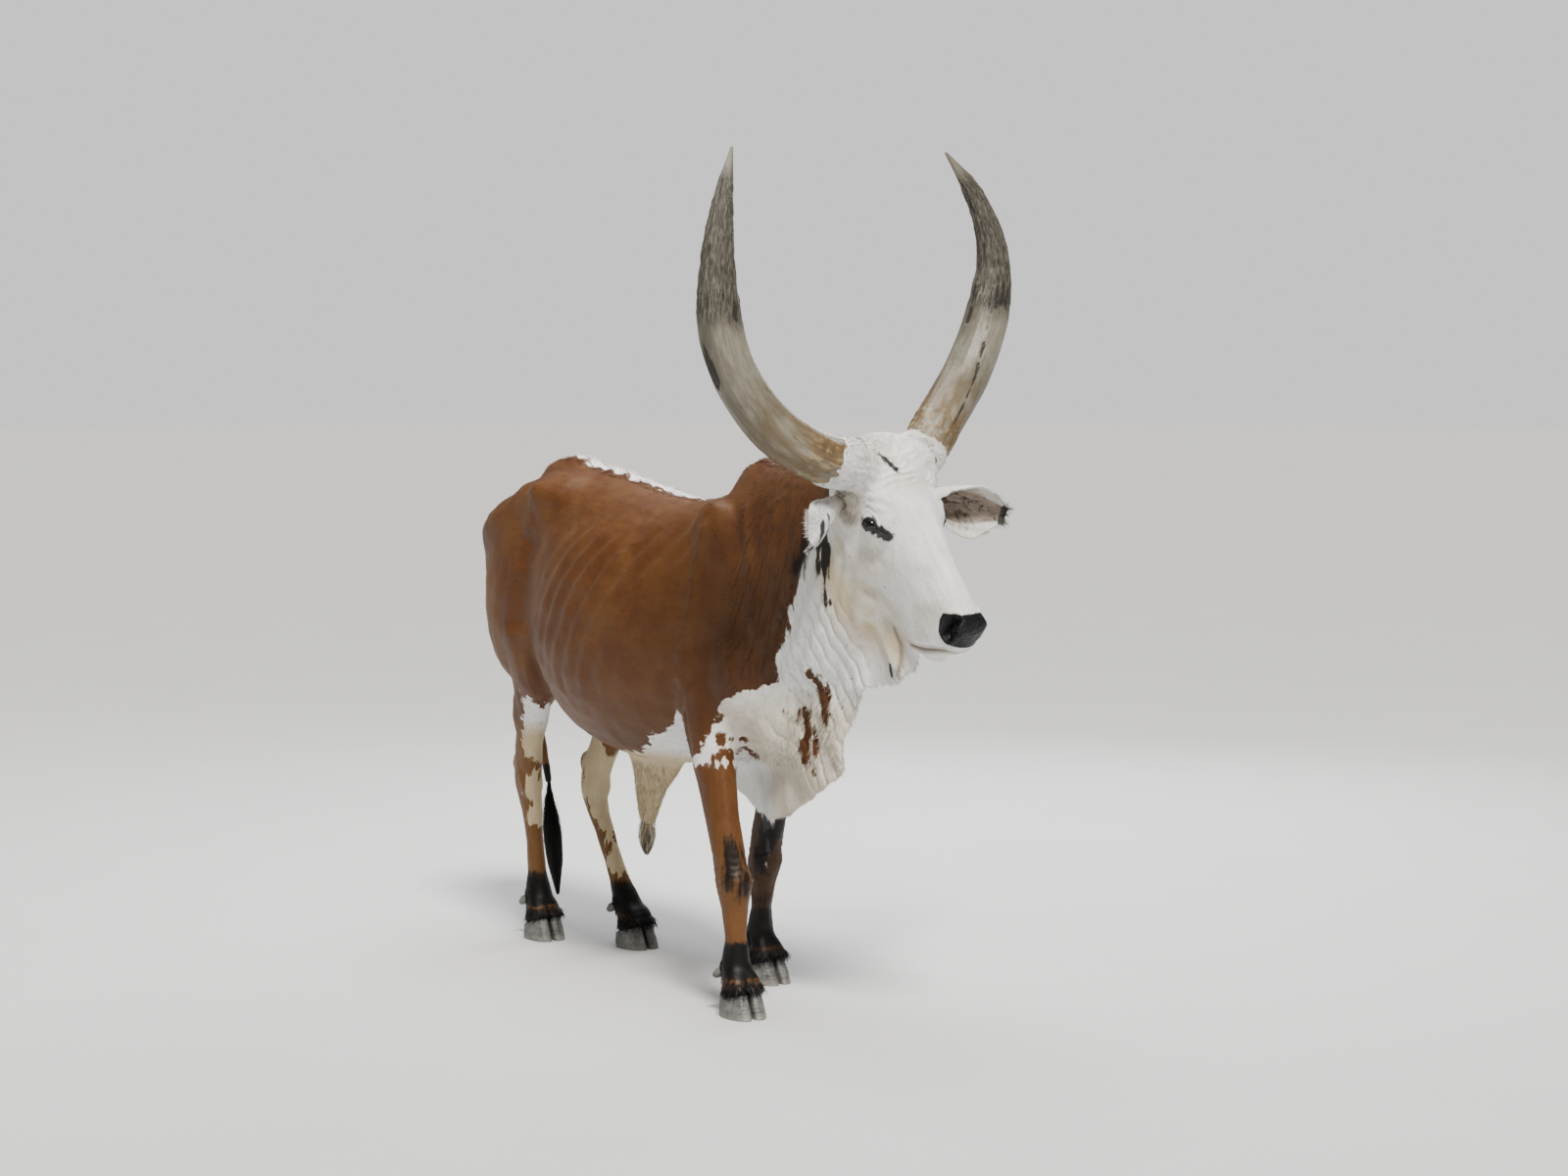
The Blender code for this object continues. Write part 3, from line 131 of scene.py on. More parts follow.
def level_axes():
    """Ahead and left of the turned head, both level."""
    ahead = np.array([math.sin(HEAD_TURN), -math.cos(HEAD_TURN), 0.0])
    return ahead, np.array([math.cos(HEAD_TURN), math.sin(HEAD_TURN), 0.0])


def head_axes():
    """The head's left, out of its face, and down its nose."""
    ahead, left = level_axes()
    left = unit(left * math.cos(HEAD_TILT) + np.array([0.0, 0.0, math.sin(HEAD_TILT)]))
    along = ahead * math.cos(HEAD_PITCH) - np.array([0.0, 0.0, math.sin(HEAD_PITCH)])
    along = unit(along - left * along.dot(left))
    return left, np.cross(along, left), along


HEAD_LEFT, HEAD_OUT, HEAD_ALONG = head_axes()
POLL = at(0.0, POLL_AHEAD, POLL_HEIGHT)


def on_head(side, out, along):
    """A place on the head."""
    return POLL + HEAD_LEFT * side + HEAD_OUT * out + HEAD_ALONG * along


def head_terms(points):
    """Side, out and along of many places, measured on the head."""
    return (points - POLL) @ np.stack((HEAD_LEFT, HEAD_OUT, HEAD_ALONG), axis=1)


def mirrored(head):
    """Places on the head with both sides laid on the left one."""
    return np.stack((np.abs(head[:, 0]), head[:, 1], head[:, 2]), axis=1)


def head_zone(own):
    """1 on the head, 0 on the body, from side, ahead and up."""
    return soft((own[:, 1] - 0.74) / 0.05) * soft((own[:, 2] - 0.86) / 0.05)


def ear_terms(points, side):
    """How far out along an ear places lie, how far across it from -1 to 1, their distance from its axis,
    the way it reaches and the way it opens."""
    root_side, root_out, root_along = EAR_ROOT
    root = on_head(side * root_side, root_out, root_along)
    if side > 0:
        reach, opening = unit([0.93, -0.34, -0.20]), np.array([-0.25, -0.88, -0.25])
        length, widest = 0.246, 0.049
    else:
        reach, opening = unit([-0.72, -0.46, -0.55]), np.array([-0.75, 0.35, -0.10])
        length, widest = 0.212 * RIGHT_EAR_SHARE, 0.044 * RIGHT_EAR_SHARE
    opening = unit(opening - reach * opening.dot(reach))
    away = points - root
    along = away @ reach
    out = along / length
    leaf = np.sin(math.pi * np.clip(out * 0.95 + 0.03, 0, 1)) ** 0.9
    half = EAR_ROOT_HALF + (widest - EAR_ROOT_HALF) * leaf
    gap = np.linalg.norm(away - np.outer(along, reach), axis=1)
    return out, (away @ np.cross(reach, opening)) / half, gap, reach, opening


def ear_girth(out):
    """How far an ear's own places may lie from its axis."""
    return 0.042 + 0.035 * np.clip(out, 0, 1)


def eye_centre(side):
    """Middle of an eyeball."""
    low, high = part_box("eye_left" if side > 0 else "eye_right")
    return (np.array(low) + np.array(high)) / 2


def eye_axes(side):
    """An eye's gaze, the way to its inner corner, and its up."""
    gaze = unit(HEAD_LEFT * side * 0.93 + HEAD_OUT * 0.34 + HEAD_ALONG * 0.05)
    inner = HEAD_OUT * 0.52 + HEAD_ALONG * 0.85
    inner = unit(inner - gaze * inner.dot(gaze))
    up = np.cross(inner, gaze)
    if up.dot(HEAD_OUT - HEAD_ALONG) < 0:
        up = -up
    return gaze, inner, up


# Soft shapes and noise, over many places at once.

def soft(value):
    """Smooth step from 0 to 1."""
    value = np.clip(value, 0.0, 1.0)
    return value * value * (3.0 - 2.0 * value)


def bell(distance, width):
    """1 at no distance, falling off smoothly over the width."""
    return np.exp(-(distance / width) ** 2)


def segment_distance(points, start, end):
    """Distance of points from a straight line between two places, and how far along it they lie."""
    start = np.asarray(start, dtype=float)
    way = np.asarray(end, dtype=float) - start
    along = np.clip(((points - start) @ way) / max(way @ way, 1e-12), 0.0, 1.0)
    return np.linalg.norm(points - start - along[:, None] * way, axis=1), along


def path_distance(points, path):
    """Least distance of points from a path of straight lines."""
    return np.min([segment_distance(points, a, b)[0] for a, b in zip(path, path[1:])], axis=0)


def lattice(cells, seed):
    """A fixed number from 0 to 1 for each cell."""
    mask = 0xFFFFFFFF
    mixed = cells[:, 0] * 374761393 + cells[:, 1] * 668265263 + cells[:, 2] * 1274126177
    mixed = (mixed + seed * 144665) & mask
    mixed = ((mixed ^ (mixed >> 13)) * 1274126177) & mask
    return ((mixed ^ (mixed >> 16)) & 0xFFFFFF) / 0xFFFFFF


def rough(points, size, seed=0):
    """Smooth noise from -1 to 1 with lumps of the given size."""
    scaled = points / size
    cells = np.floor(scaled).astype(np.int64)
    part = scaled - cells
    part = part * part * (3.0 - 2.0 * part)
    total = np.zeros(len(points))
    for corner in range(8):
        pick = np.array([corner & 1, (corner >> 1) & 1, (corner >> 2) & 1])
        weight = np.prod(np.where(pick, part, 1.0 - part), axis=1)
        total += weight * lattice(cells + pick, seed)
    return total * 2.0 - 1.0


def catmull_rom(rows, count):
    """Rows of numbers spread along a smooth curve through the given rows."""
    rows = np.array(rows, dtype=float)
    padded = np.vstack((2 * rows[0] - rows[1], rows, 2 * rows[-1] - rows[-2]))
    out = []
    for value in np.linspace(0, len(rows) - 1, count):
        index = min(int(value), len(rows) - 2)
        t = value - index
        a, b, c, d = padded[index:index + 4]
        out.append(0.5 * (2 * b + (c - a) * t + (2 * a - 5 * b + 4 * c - d) * t * t
                          + (3 * b - a - 3 * c + d) * t ** 3))
    return np.array(out)


# Mesh helpers.

def coordinates(mesh):
    """All vertex places of a mesh."""
    out = np.empty(len(mesh.vertices) * 3)
    mesh.vertices.foreach_get("co", out)
    return out.reshape(-1, 3)


def place(mesh, points):
    """Move all vertices of a mesh."""
    mesh.vertices.foreach_set("co", np.ascontiguousarray(points, dtype=np.float32).ravel())
    mesh.update()


def normals(mesh):
    """Normal at each vertex."""
    out = np.empty(len(mesh.vertices) * 3, dtype=np.float32)
    mesh.vertex_normals.foreach_get("vector", out)
    return out.reshape(-1, 3).astype(float)


def neighbours(mesh, width=6):
    """Indices of each vertex's neighbours, filled up with its own."""
    edges = np.empty(len(mesh.edges) * 2, dtype=np.int32)
    mesh.edges.foreach_get("vertices", edges)
    edges = edges.reshape(-1, 2)
    first = np.concatenate((edges[:, 0], edges[:, 1]))
    second = np.concatenate((edges[:, 1], edges[:, 0]))
    order = np.argsort(first, kind="stable")
    first = first[order]
    second = second[order]
    starts = np.searchsorted(first, np.arange(len(mesh.vertices)))
    rank = np.arange(len(first)) - starts[first]
    keep = rank < width
    table = np.repeat(np.arange(len(mesh.vertices))[:, None], width, axis=1)
    table[first[keep], rank[keep]] = second[keep]
    return table


def smooth(mesh, rounds, weight=1.0, keep_volume=True):
    """Even out a mesh, everywhere or by a weight at each vertex."""
    table = neighbours(mesh)
    points = coordinates(mesh)
    weight = np.broadcast_to(np.asarray(weight, dtype=float), (len(points),))[:, None]
    for _ in range(rounds):
        points = points + weight * 0.62 * (points[table].mean(axis=1) - points)
        if keep_volume:
            points = points - weight * 0.645 * (points[table].mean(axis=1) - points)
    place(mesh, points)


def new_piece(name, mesh, finish):
    """A linked object that rides on the animal."""
    item = bpy.data.objects.new(name, mesh)
    bpy.context.collection.objects.link(item)
    mesh.materials.clear()
    mesh.materials.append(finish)
    mesh.polygons.foreach_set("use_smooth", [True] * len(mesh.polygons))
    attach(item, "root")
    return item


def mesh_from(name, points, faces):
    """A mesh from arrays of places and of faces with equal corner counts."""
    faces = np.asarray(faces, dtype=np.int32)
    mesh = bpy.data.meshes.new(name)
    mesh.vertices.add(len(points))
    mesh.vertices.foreach_set("co", np.ascontiguousarray(points, dtype=np.float32).ravel())
    mesh.loops.add(faces.size)
    mesh.loops.foreach_set("vertex_index", faces.ravel())
    mesh.polygons.add(len(faces))
    mesh.polygons.foreach_set("loop_start", np.arange(0, faces.size, faces.shape[1], dtype=np.int32))
    mesh.update(calc_edges=True)
    mesh.validate()
    return mesh


def fused(nodes, voxel, overlap, name, more=()):
    """One closed mesh over several solids of the frame and further meshes."""
    gathered = bmesh.new()
    for held in more:
        gathered.from_mesh(held)
        bpy.data.meshes.remove(held)
    for node in nodes:
        part = bmesh.new()
        part.from_mesh(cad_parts[node].data)
        bmesh.ops.remove_doubles(part, verts=part.verts, dist=1e-5)
        bmesh.ops.recalc_face_normals(part, faces=part.faces)
        part.normal_update()
        for vert in part.verts:
            vert.co += vert.normal * overlap
        held = bpy.data.meshes.new("held")
        part.to_mesh(held)
        part.free()
        gathered.from_mesh(held)
        bpy.data.meshes.remove(held)
    mesh = bpy.data.meshes.new(name)
    gathered.to_mesh(mesh)
    gathered.free()
    item = bpy.data.objects.new(name, mesh)
    bpy.context.collection.objects.link(item)
    remesh = item.modifiers.new("fuse", "REMESH")
    remesh.mode = "VOXEL"
    remesh.voxel_size = voxel
    shown = item.evaluated_get(bpy.context.evaluated_depsgraph_get())
    result = bpy.data.meshes.new_from_object(shown)
    bpy.data.objects.remove(item)
    bpy.data.meshes.remove(mesh)
    result.name = name
    keep_largest(result)
    return result


def keep_largest(mesh):
    """Drop every shell but the largest."""
    work = bmesh.new()
    work.from_mesh(mesh)
    work.verts.ensure_lookup_table()
    seen = np.full(len(work.verts), -1)
    shells = []
    for start in work.verts:
        if seen[start.index] >= 0:
            continue
        seen[start.index] = len(shells)
        stack = [start]
        size = 0
        while stack:
            vert = stack.pop()
            size += 1
            for edge in vert.link_edges:
                other = edge.other_vert(vert)
                if seen[other.index] < 0:
                    seen[other.index] = len(shells)
                    stack.append(other)
        shells.append(size)
    if len(shells) > 1:
        best = int(np.argmax(shells))
        bmesh.ops.delete(work, geom=[v for v in work.verts if seen[v.index] != best], context="VERTS")
        work.to_mesh(mesh)
    work.free()
    mesh.update()


def refine(mesh, inside):
    """Split the edges that lie wholly within a zone."""
    work = bmesh.new()
    work.from_mesh(mesh)
    edges = [e for e in work.edges if inside[e.verts[0].index] and inside[e.verts[1].index]]
    bmesh.ops.subdivide_edges(work, edges=edges, cuts=1, use_grid_fill=True)
    wide = [face for face in work.faces if len(face.verts) > 4]
    bmesh.ops.triangulate(work, faces=wide)
    work.to_mesh(mesh)
    work.free()
    mesh.update()


def store(mesh, name, values):
    """Keep a number at each vertex under a name that the finishes read."""
    held = mesh.attributes.new(name, "FLOAT", "POINT")
    held.data.foreach_set("value", np.ascontiguousarray(values, dtype=np.float32))


def store_vector(mesh, name, values):
    """Keep a vector at each vertex under a name that the finishes read."""
    held = mesh.attributes.new(name, "FLOAT_VECTOR", "POINT")
    held.data.foreach_set("vector", np.ascontiguousarray(values, dtype=np.float32).ravel())


# Markings: each is a signed distance in metres, above zero inside the mark, or a strength 0 to 1.

NECK_BORDER_UP = (0.55, 0.60, 0.626, 0.66, 0.696, 0.708, 0.741, 0.762, 0.793, 0.809, 0.846, 0.895,
                  0.943, 0.990, 1.038, 1.085, 1.15, 1.25, 1.33)
NECK_BORDER_AHEAD = (0.250, 0.300, 0.400, 0.406, 0.407, 0.426, 0.436, 0.468, 0.522, 0.554, 0.567, 0.593,
                     0.613, 0.627, 0.647, 0.665, 0.700, 0.752, 0.790)
BROWN_ISLANDS = (
    ((0.654, 0.822), (0.664, 0.722), 0.011),
    ((0.588, 0.739), (0.582, 0.620), 0.012),
    ((0.617, 0.694), (0.615, 0.588), 0.006),
    ((0.568, 0.735), (0.568, 0.730), 0.008),
    ((0.429, 0.626), (0.429, 0.620), 0.007),
    ((0.422, 0.668), (0.422, 0.660), 0.006),
)
WHITE_PATCHES = (
    (-1, (-0.556, 0.640), (-0.622, 0.520), 0.036),
    (-1, (-0.650, 0.437), (-0.668, 0.326), 0.022),
    (1, (-0.590, 0.560), (-0.535, 0.420), 0.062),
    (1, (-0.535, 0.420), (-0.500, 0.330), 0.050),
    (1, (-0.500, 0.330), (-0.462, 0.225), 0.036),
)
BELLY_TOP_AHEAD = (-0.30, -0.10, 0.0, 0.056, 0.111, 0.151, 0.203, 0.235, 0.260)
BELLY_TOP_UP = (0.560, 0.572, 0.582, 0.606, 0.634, 0.642, 0.672, 0.708, 0.722)
THROAT_PATH = ((0.76, 1.09), (0.79, 1.00), (0.84, 0.94), (0.89, 0.91))
NECK_SOOT_PATH = ((0.690, 1.200), (0.665, 1.130), (0.650, 1.080))
JAW_BLACK_PATH = ((0.716, 1.190), (0.728, 1.130), (0.732, 1.075))
JAW_BLACK_TAIL = ((0.734, 1.075), (0.742, 1.010))
FLAP_MARK = ((0.876, 0.866), (0.872, 0.846))
FLAP_FOLD = ((0.885, 0.955), (0.901, 0.924), (0.906, 0.900), (0.906, 0.875), (0.899, 0.845))
NECK_SCAR = ((0.524, 1.221), (0.560, 1.250), (0.605, 1.263), (0.661, 1.268))

# Rows for the right and left fore legs: how far ahead the front of the leg stands at each height.
KNEE_UP = (0.10, 0.27, 0.40, 0.55)
KNEE_FRONT = ((0.497, 0.487, 0.457, 0.390), (0.197, 0.187, 0.222, 0.275))

# One entry for each leg, in the order of LEGS.
FOOT_SOOT_TOP = (0.185, 0.205, 0.190, 0.180)
FETLOCK_BANDS = ((0.168, 0.100), (0.165, 0.098), (0.160, 0.092), (0.155, 0.090))
FETLOCK_MIDDLE = (0.478, 0.175, -0.665, -0.425)
LEG_MIDDLES = ((-0.160, 0.44), (0.110, 0.23), (-0.055, -0.66), (0.095, -0.50))

# Places on the head: side, out of the face and along it, or only the last two.
PAD_OUT = (-0.100, -0.093, -0.072, -0.055, -0.030, -0.019, -0.005)
PAD_ALONG = (0.482, 0.470, 0.449, 0.443, 0.461, 0.474, 0.492)
PAD_LOW = 0.092
MOUTH_PATH = ((-0.206, 0.436), (-0.186, 0.455), (-0.162, 0.474), (-0.132, 0.494), (-0.110, 0.512),
              (-0.098, 0.545))
NOSTRIL_PATH = ((0.046, -0.036, 0.476), (0.053, -0.048, 0.480), (0.050, -0.070, 0.491))
CREAM_SPOTS = (((0.105, -0.105, 0.115), 0.045, 0.55), ((0.085, -0.150, 0.235), 0.055, 0.50))
INNER_CORNER = ((0.109, -0.060, 0.204), (0.094, -0.053, 0.234))
OUTER_CORNER = ((0.112, -0.085, 0.160), (0.104, -0.104, 0.150))
POLL_DASH = ((-0.044, 0.0, 0.040), (-0.022, 0.006, 0.092))
BROW_SPOT = ((-0.096, -0.014, 0.178), (-0.090, -0.010, 0.192))
LEG_ZONE_UP = 0.60

# The slit between the lids: half its length, how far it arches, and its height above and below.
LENS_HALF = 0.024
LENS_ARCH = 0.0025
LENS_ABOVE = 0.0125
LENS_BELOW = 0.0100

# The dark lids reach so far from the eyeball's middle, and so many times as wide as the slit.
LID_REACH = 0.045
LID_WIDTH = 1.5

# Outside of a mark, for places that it can't reach.
NO_MARK = -0.05


def leg_of(own):
    """For each place, which leg it belongs to, or -1."""
    side, ahead, up = own.T
    fore = ahead > -0.05
    leg = np.where(fore, np.where(side < 0, 0, 1), np.where(side < 0.022, 2, 3))
    return np.where(up < LEG_ZONE_UP, leg, -1)


def eye_lens(points, side):
    """How far places lie from the slit of an eye, under 1 inside it. Also their distance from the
    eyeball's middle and their height over the slit's middle line."""
    gaze, inner, up = eye_axes(side)
    away = points - eye_centre(side)
    reach = np.linalg.norm(away, axis=1)
    scaled = away * (EYE_RADIUS / np.maximum(reach, 1e-6))[:, None]
    across = scaled @ inner
    rise = scaled @ up
    front = scaled @ gaze
    angle = np.arctan2(np.hypot(across, rise), front)
    spread = EYE_RADIUS * angle / np.maximum(np.hypot(across, rise), 1e-6)
    across = across * spread
    rise = rise * spread
    rise = rise - LENS_ARCH * (1 - (across / LENS_HALF) ** 2)
    height = np.where(rise > 0, LENS_ABOVE, LENS_BELOW)
    return (across / LENS_HALF) ** 2 + np.abs(rise) / height, reach, rise


def pad_depth(head):
    """How far places on the head lie within the bare nose pad."""
    return np.minimum(head[:, 2] - np.interp(head[:, 1], PAD_OUT, PAD_ALONG), head[:, 1] + PAD_LOW)


class Places:
    """Many places, with the terms that their marks are drawn from."""

    def __init__(self, points, facing):
        self.points = points
        self.facing = facing
        self.own = body_terms(points)
        self.side, self.ahead, self.up = self.own.T
        self.flat = self.own[:, 1:]
        self.head = head_terms(points)
        self.h_side, self.h_out, self.h_along = self.head.T
        self.pair = mirrored(self.head)
        self.leg = leg_of(self.own)
        self.on_face = head_zone(self.own)
        wander = rough(points, 0.05, 3) * 0.011 + self.rough(0.020, 4, 0.55) * 0.009
        self.wander = wander + self.rough(0.010, 5, 0.20) * 0.011

    def rough(self, size, seed, upright=1.0):
        """Noise with lumps of the given size, drawn out upwards by a share under 1."""
        return rough(self.points * [1, 1, upright], size, seed)


def white_mark(p):
    """Head, front of the neck, brisket, belly, the stripe on the back and the pale patches."""
    border = np.interp(p.up, NECK_BORDER_UP, NECK_BORDER_AHEAD)
    white = (p.ahead - border) * 0.85
    leg_front = np.minimum(np.where(p.side < 0, 0.60, 0.47) - p.up, np.abs(p.side) - 0.085)
    white = np.minimum(white, -leg_front)
    for start, end, radius in BROWN_ISLANDS:
        gap = segment_distance(p.flat, start, end)[0] - radius
        white = np.where(p.side < 0.0, np.minimum(white, gap), white)
    for which, start, end, radius in WHITE_PATCHES:
        patch = radius - segment_distance(p.flat, start, end)[0]
        white = np.maximum(white, np.where(p.side * which > -0.01, patch, -0.1))
    belly_top = np.interp(p.ahead, BELLY_TOP_AHEAD, BELLY_TOP_UP)
    under = np.minimum(np.minimum(belly_top - p.up, 0.262 - p.ahead), p.ahead + 0.30)
    stripe = np.minimum(0.026 - np.abs(p.side - 0.020), np.minimum(p.ahead + 0.56, 0.17 - p.ahead))
    white = np.maximum(white, np.where(p.up > 1.12, stripe, -0.1))
    sheath = np.minimum(np.minimum(0.520 - p.up, 0.075 - np.abs(p.side)), 0.10 - np.abs(p.ahead + 0.145))
    white = np.maximum(white, np.maximum(np.minimum(under, p.up - 0.45), sheath))
    feather = 0.016 * p.rough(0.005, 51, 0.4)
    white = white + p.wander + np.where((p.ahead < -0.40) & (p.up < 0.70), feather, 0.0)
    white = np.where(p.on_face > 0.5, 0.05, white)
    greyed = bell(p.up - 0.172, 0.022) * soft((p.ahead + 0.445) / 0.02)
    return np.where(p.leg == 3, np.maximum(white, (greyed - 0.45) * 0.03), white)


def cream_mark(p):
    """Where the white turns cream: jaw, temples, throat, belly and brisket."""
    cream = 0.65 * soft((-0.150 - p.h_out) / 0.07) * soft((0.46 - p.h_along) / 0.10) * p.on_face
    cream = cream * soft(0.8 + 0.7 * p.rough(0.03, 16))
    for spot, spread, strength in CREAM_SPOTS:
        cream = np.maximum(cream, strength * bell(np.linalg.norm(p.pair - spot, axis=1), spread) * p.on_face)
    cream = np.maximum(cream, 0.35 * soft(0.1 + p.rough(0.05, 17)) * p.on_face)
    throat = bell(path_distance(p.flat, THROAT_PATH), 0.055)
    cream = np.maximum(cream, 0.95 * throat * soft(0.75 + 0.8 * p.rough(0.03, 25, 0.4)))
    cream = np.maximum(cream, soft((0.62 - p.up) / 0.06) * soft((0.20 - p.ahead) / 0.05))
    return np.maximum(cream, 0.55 * soft((0.82 - p.up) / 0.10) * soft((p.ahead - 0.40) / 0.05))


def tan_mark(p):
    """Where the chestnut turns tan: the back of the thighs and the lower legs."""
    rear = soft((-0.60 - p.ahead + (p.up - 0.9) * 0.10) / 0.12) * soft((1.08 - p.up) / 0.15)
    tan = np.maximum(rear * 0.85, np.where((p.leg == 2) | (p.leg == 3), soft((0.64 - p.up) / 0.10), 0.0))
    tan = np.maximum(tan, np.where(p.leg == 0, 0.20 + 0.35 * soft((0.48 - p.up) / 0.10), 0.0))
    return np.maximum(tan, np.where(p.leg == 1, 0.15 * soft((0.45 - p.up) / 0.08), 0.0))


def dark_mark(p):
    """Where the chestnut darkens: neck and shoulder with their streaks and the left fore leg, with painted
    shade darkening the low flank.
    """
    dark = 0.42 * soft((p.ahead - 0.24) / 0.22) * soft((p.up - 0.62) / 0.10)
    high = soft((p.up - 0.72) / 0.1)
    streaks = soft((p.ahead - 0.34) / 0.14) * soft(0.5 + 1.5 * p.rough(0.014, 8, 0.16))
    dark = np.maximum(dark, streaks * 0.50 * high)
    threads = soft((p.ahead - 0.42) / 0.10) * soft(0.25 + 1.2 * p.rough(0.0045, 30, 0.07))
    dark = np.maximum(dark, threads * 0.62 * high)
    # Painted shade: the low flank darker, where the body turns away from the light above.
    low_flank_shade = soft((0.76 - p.up) / 0.16) * soft((0.30 - p.ahead) / 0.1) * soft((p.ahead + 0.62) / 0.1)
    dark = np.maximum(dark, 0.40 * low_flank_shade)
    dark = np.where(p.leg == 1, np.maximum(dark, 0.80), dark)
    others = (p.leg == 0) | (p.leg == 2) | (p.leg == 3)
    return dark * np.where(others, soft((p.up - 0.52) / 0.08), 1.0)


def soot_mark(p):
    """Black hairs mixed into the coat: side of the neck, knees, feet and round the horns."""
    soot = 0.75 * bell(path_distance(p.flat, NECK_SOOT_PATH), 0.030)
    soot = soot * np.where(p.side < 0.02, 1.0, 0.5)
    for index, row in enumerate(KNEE_FRONT):
        front = np.interp(p.up, KNEE_UP, row)
        reach = soft((p.ahead - front + 0.014 + 0.018 * p.rough(0.022, 38, 0.5)) / 0.038)
        level = soft((0.505 - p.up) / 0.12) * soft((p.up - 0.235) / 0.09)
        level = level * soft(0.9 + p.rough(0.03, 39, 0.4))
        soot = np.where(p.leg == index, np.maximum(soot, (0.85 + 0.30 * index) * reach * level), soot)
    rear_grey = soft((0.26 - p.up) / 0.05) * soft((p.up - 0.09) / 0.03)
    soot = np.where(p.leg == 1, np.maximum(soot, 0.55 * rear_grey), soot)
    top = np.array(FOOT_SOOT_TOP)[np.clip(p.leg, 0, 3)]
    foot = soft((top + 0.010 - p.up) / 0.035) * (0.62 + 0.38 * soft((np.abs(p.up - 0.089) - 0.003) / 0.006))
    soot = np.where(p.leg >= 0, np.maximum(soot, foot), soot)
    gap, out = horn_root(p.points)
    fringe = soft((0.075 - gap) / 0.01) * soft((out - 0.040) / 0.03)
    return np.maximum(soot, 0.40 * fringe * soft(0.4 + 1.3 * p.rough(0.012, 28)))


def black_mark(p):
    """Fetlocks, switch, the patch behind the jaw, lids and the small marks of the head."""
    black = np.full(len(p.points), NO_MARK)
    for index, (top, bottom) in enumerate(FETLOCK_BANDS):
        ring = np.minimum(top - p.up, p.up - bottom) + 0.004
        mark = np.maximum(ring, 0.082 - p.up)
        black = np.where(p.leg == index, np.maximum(black, mark + p.wander * 0.5), black)
    on_switch = (p.side > 0.02) & (p.ahead < -0.84) & (p.up < 0.45)
    black = np.maximum(black, np.where(on_switch, 0.44 - p.up, NO_MARK))
    spikes = 0.018 * p.rough(0.009, 9, 0.16) + 0.006 * p.rough(0.02, 10)
    behind_jaw = np.maximum(0.016 - path_distance(p.flat, JAW_BLACK_PATH),
                            0.006 - segment_distance(p.flat, *JAW_BLACK_TAIL)[0]) + spikes
    black = np.maximum(black, np.where((p.side < 0.0) & (p.ahead < 0.80), behind_jaw, NO_MARK))
    flap_mark = 0.0070 - segment_distance(p.flat, *FLAP_MARK)[0] + 0.002 * p.rough(0.008, 26)
    black = np.maximum(black, np.where(p.facing[:, 0] < 0.1, flap_mark, NO_MARK))
    left, right = eye_lens(p.points, 1), eye_lens(p.points, -1)
    lens = np.minimum(left[0], right[0])
    reach = np.minimum(left[1], right[1])
    lids = np.where(reach < LID_REACH, (LID_WIDTH - lens) * 0.010 + 0.002 * p.rough(0.010, 19), NO_MARK)
    inner_corner = 0.0150 - segment_distance(p.pair, *INNER_CORNER)[0] + 0.003 * p.rough(0.010, 27)
    outer_corner = 0.0060 - segment_distance(p.pair, *OUTER_CORNER)[0]
    dash = 0.0082 - segment_distance(p.head, *POLL_DASH)[0]
    dash = dash - 0.010 * soft((-0.030 - p.h_out) / 0.01) + 0.002 * p.rough(0.008, 18)
    brow_spot = 0.0032 - segment_distance(p.head, *BROW_SPOT)[0]
    return np.maximum.reduce((black, lids, inner_corner, outer_corner, dash, brow_spot))


def ear_marks(p, soot, pink):
    """Where the ears are, and soot and pink with what the ears add."""
    ear = np.zeros(len(p.points))
    for which in (1, -1):
        left = which > 0
        out, across, away, _, opening = ear_terms(p.points, which)
        own_side = np.where(p.side * which > 0.07, 1, 0)
        on_ear = soft((out - 0.10) / 0.10) * soft((ear_girth(out) - away) / 0.008) * own_side
        inside = soft(((p.facing @ opening) + 0.05) / 0.30)
        rim = soft((np.abs(across) - 0.62) / 0.25)
        ear = np.maximum(ear, on_ear)
        pink = np.maximum(pink, on_ear * inside * (1 - 0.7 * rim) * (0.80 if left else 0.35))
        hairs = soft(0.45 + 1.3 * p.rough(0.010, 14))
        shade = inside * (1 - rim) * (0.55 if left else 1.1) * hairs
        if left:
            edge = soft((out - 0.90) / 0.06) * 1.2
        else:
            streaked = soft(0.15 + 1.8 * p.rough(0.010, 29, 0.35)) * soft((out - 0.30) / 0.2)
            edge = 1.1 * streaked * (1 - 0.8 * rim)
        soot = np.maximum(soot * (1 - on_ear), on_ear * np.maximum(shade, edge))
    return ear, soot, pink


def markings(points, facing):
    """All marks of the coat at many places, from where they are and which way they face."""
    p = Places(points, facing)
    on_head = p.on_face > 0.5
    pad = np.minimum(pad_depth(p.head), p.h_out + PAD_LOW - np.maximum(0.0, p.h_along - 0.500) * 0.5)
    pad = np.minimum(pad, 0.060 - np.abs(p.h_side))
    mouth = 0.0034 - path_distance(p.head[:, 1:], MOUTH_PATH)
    mouth = np.where(on_head & (p.h_along > 0.40), mouth, NO_MARK)
    pink = 0.35 * soft((0.012 - np.abs(mouth)) / 0.01) * p.on_face
    pink = np.maximum(pink, 0.75 * bell(path_distance(p.flat, FLAP_FOLD), 0.006))
    ear, soot, pink = ear_marks(p, soot_mark(p), pink)
    return {
        "white": white_mark(p),
        "cream": cream_mark(p),
        "tan": tan_mark(p),
        "dark": dark_mark(p),
        "black": black_mark(p),
        "soot": soot,
        "pink": pink,
        "pad": np.where(on_head, pad, NO_MARK),
        # The nostril mark places painted shade inside each nostril.
        "nostril": np.where(on_head, 0.0160 - path_distance(p.pair, NOSTRIL_PATH), NO_MARK),
        "mouth": mouth,
        "ear": ear,
        "face": p.on_face,
    }


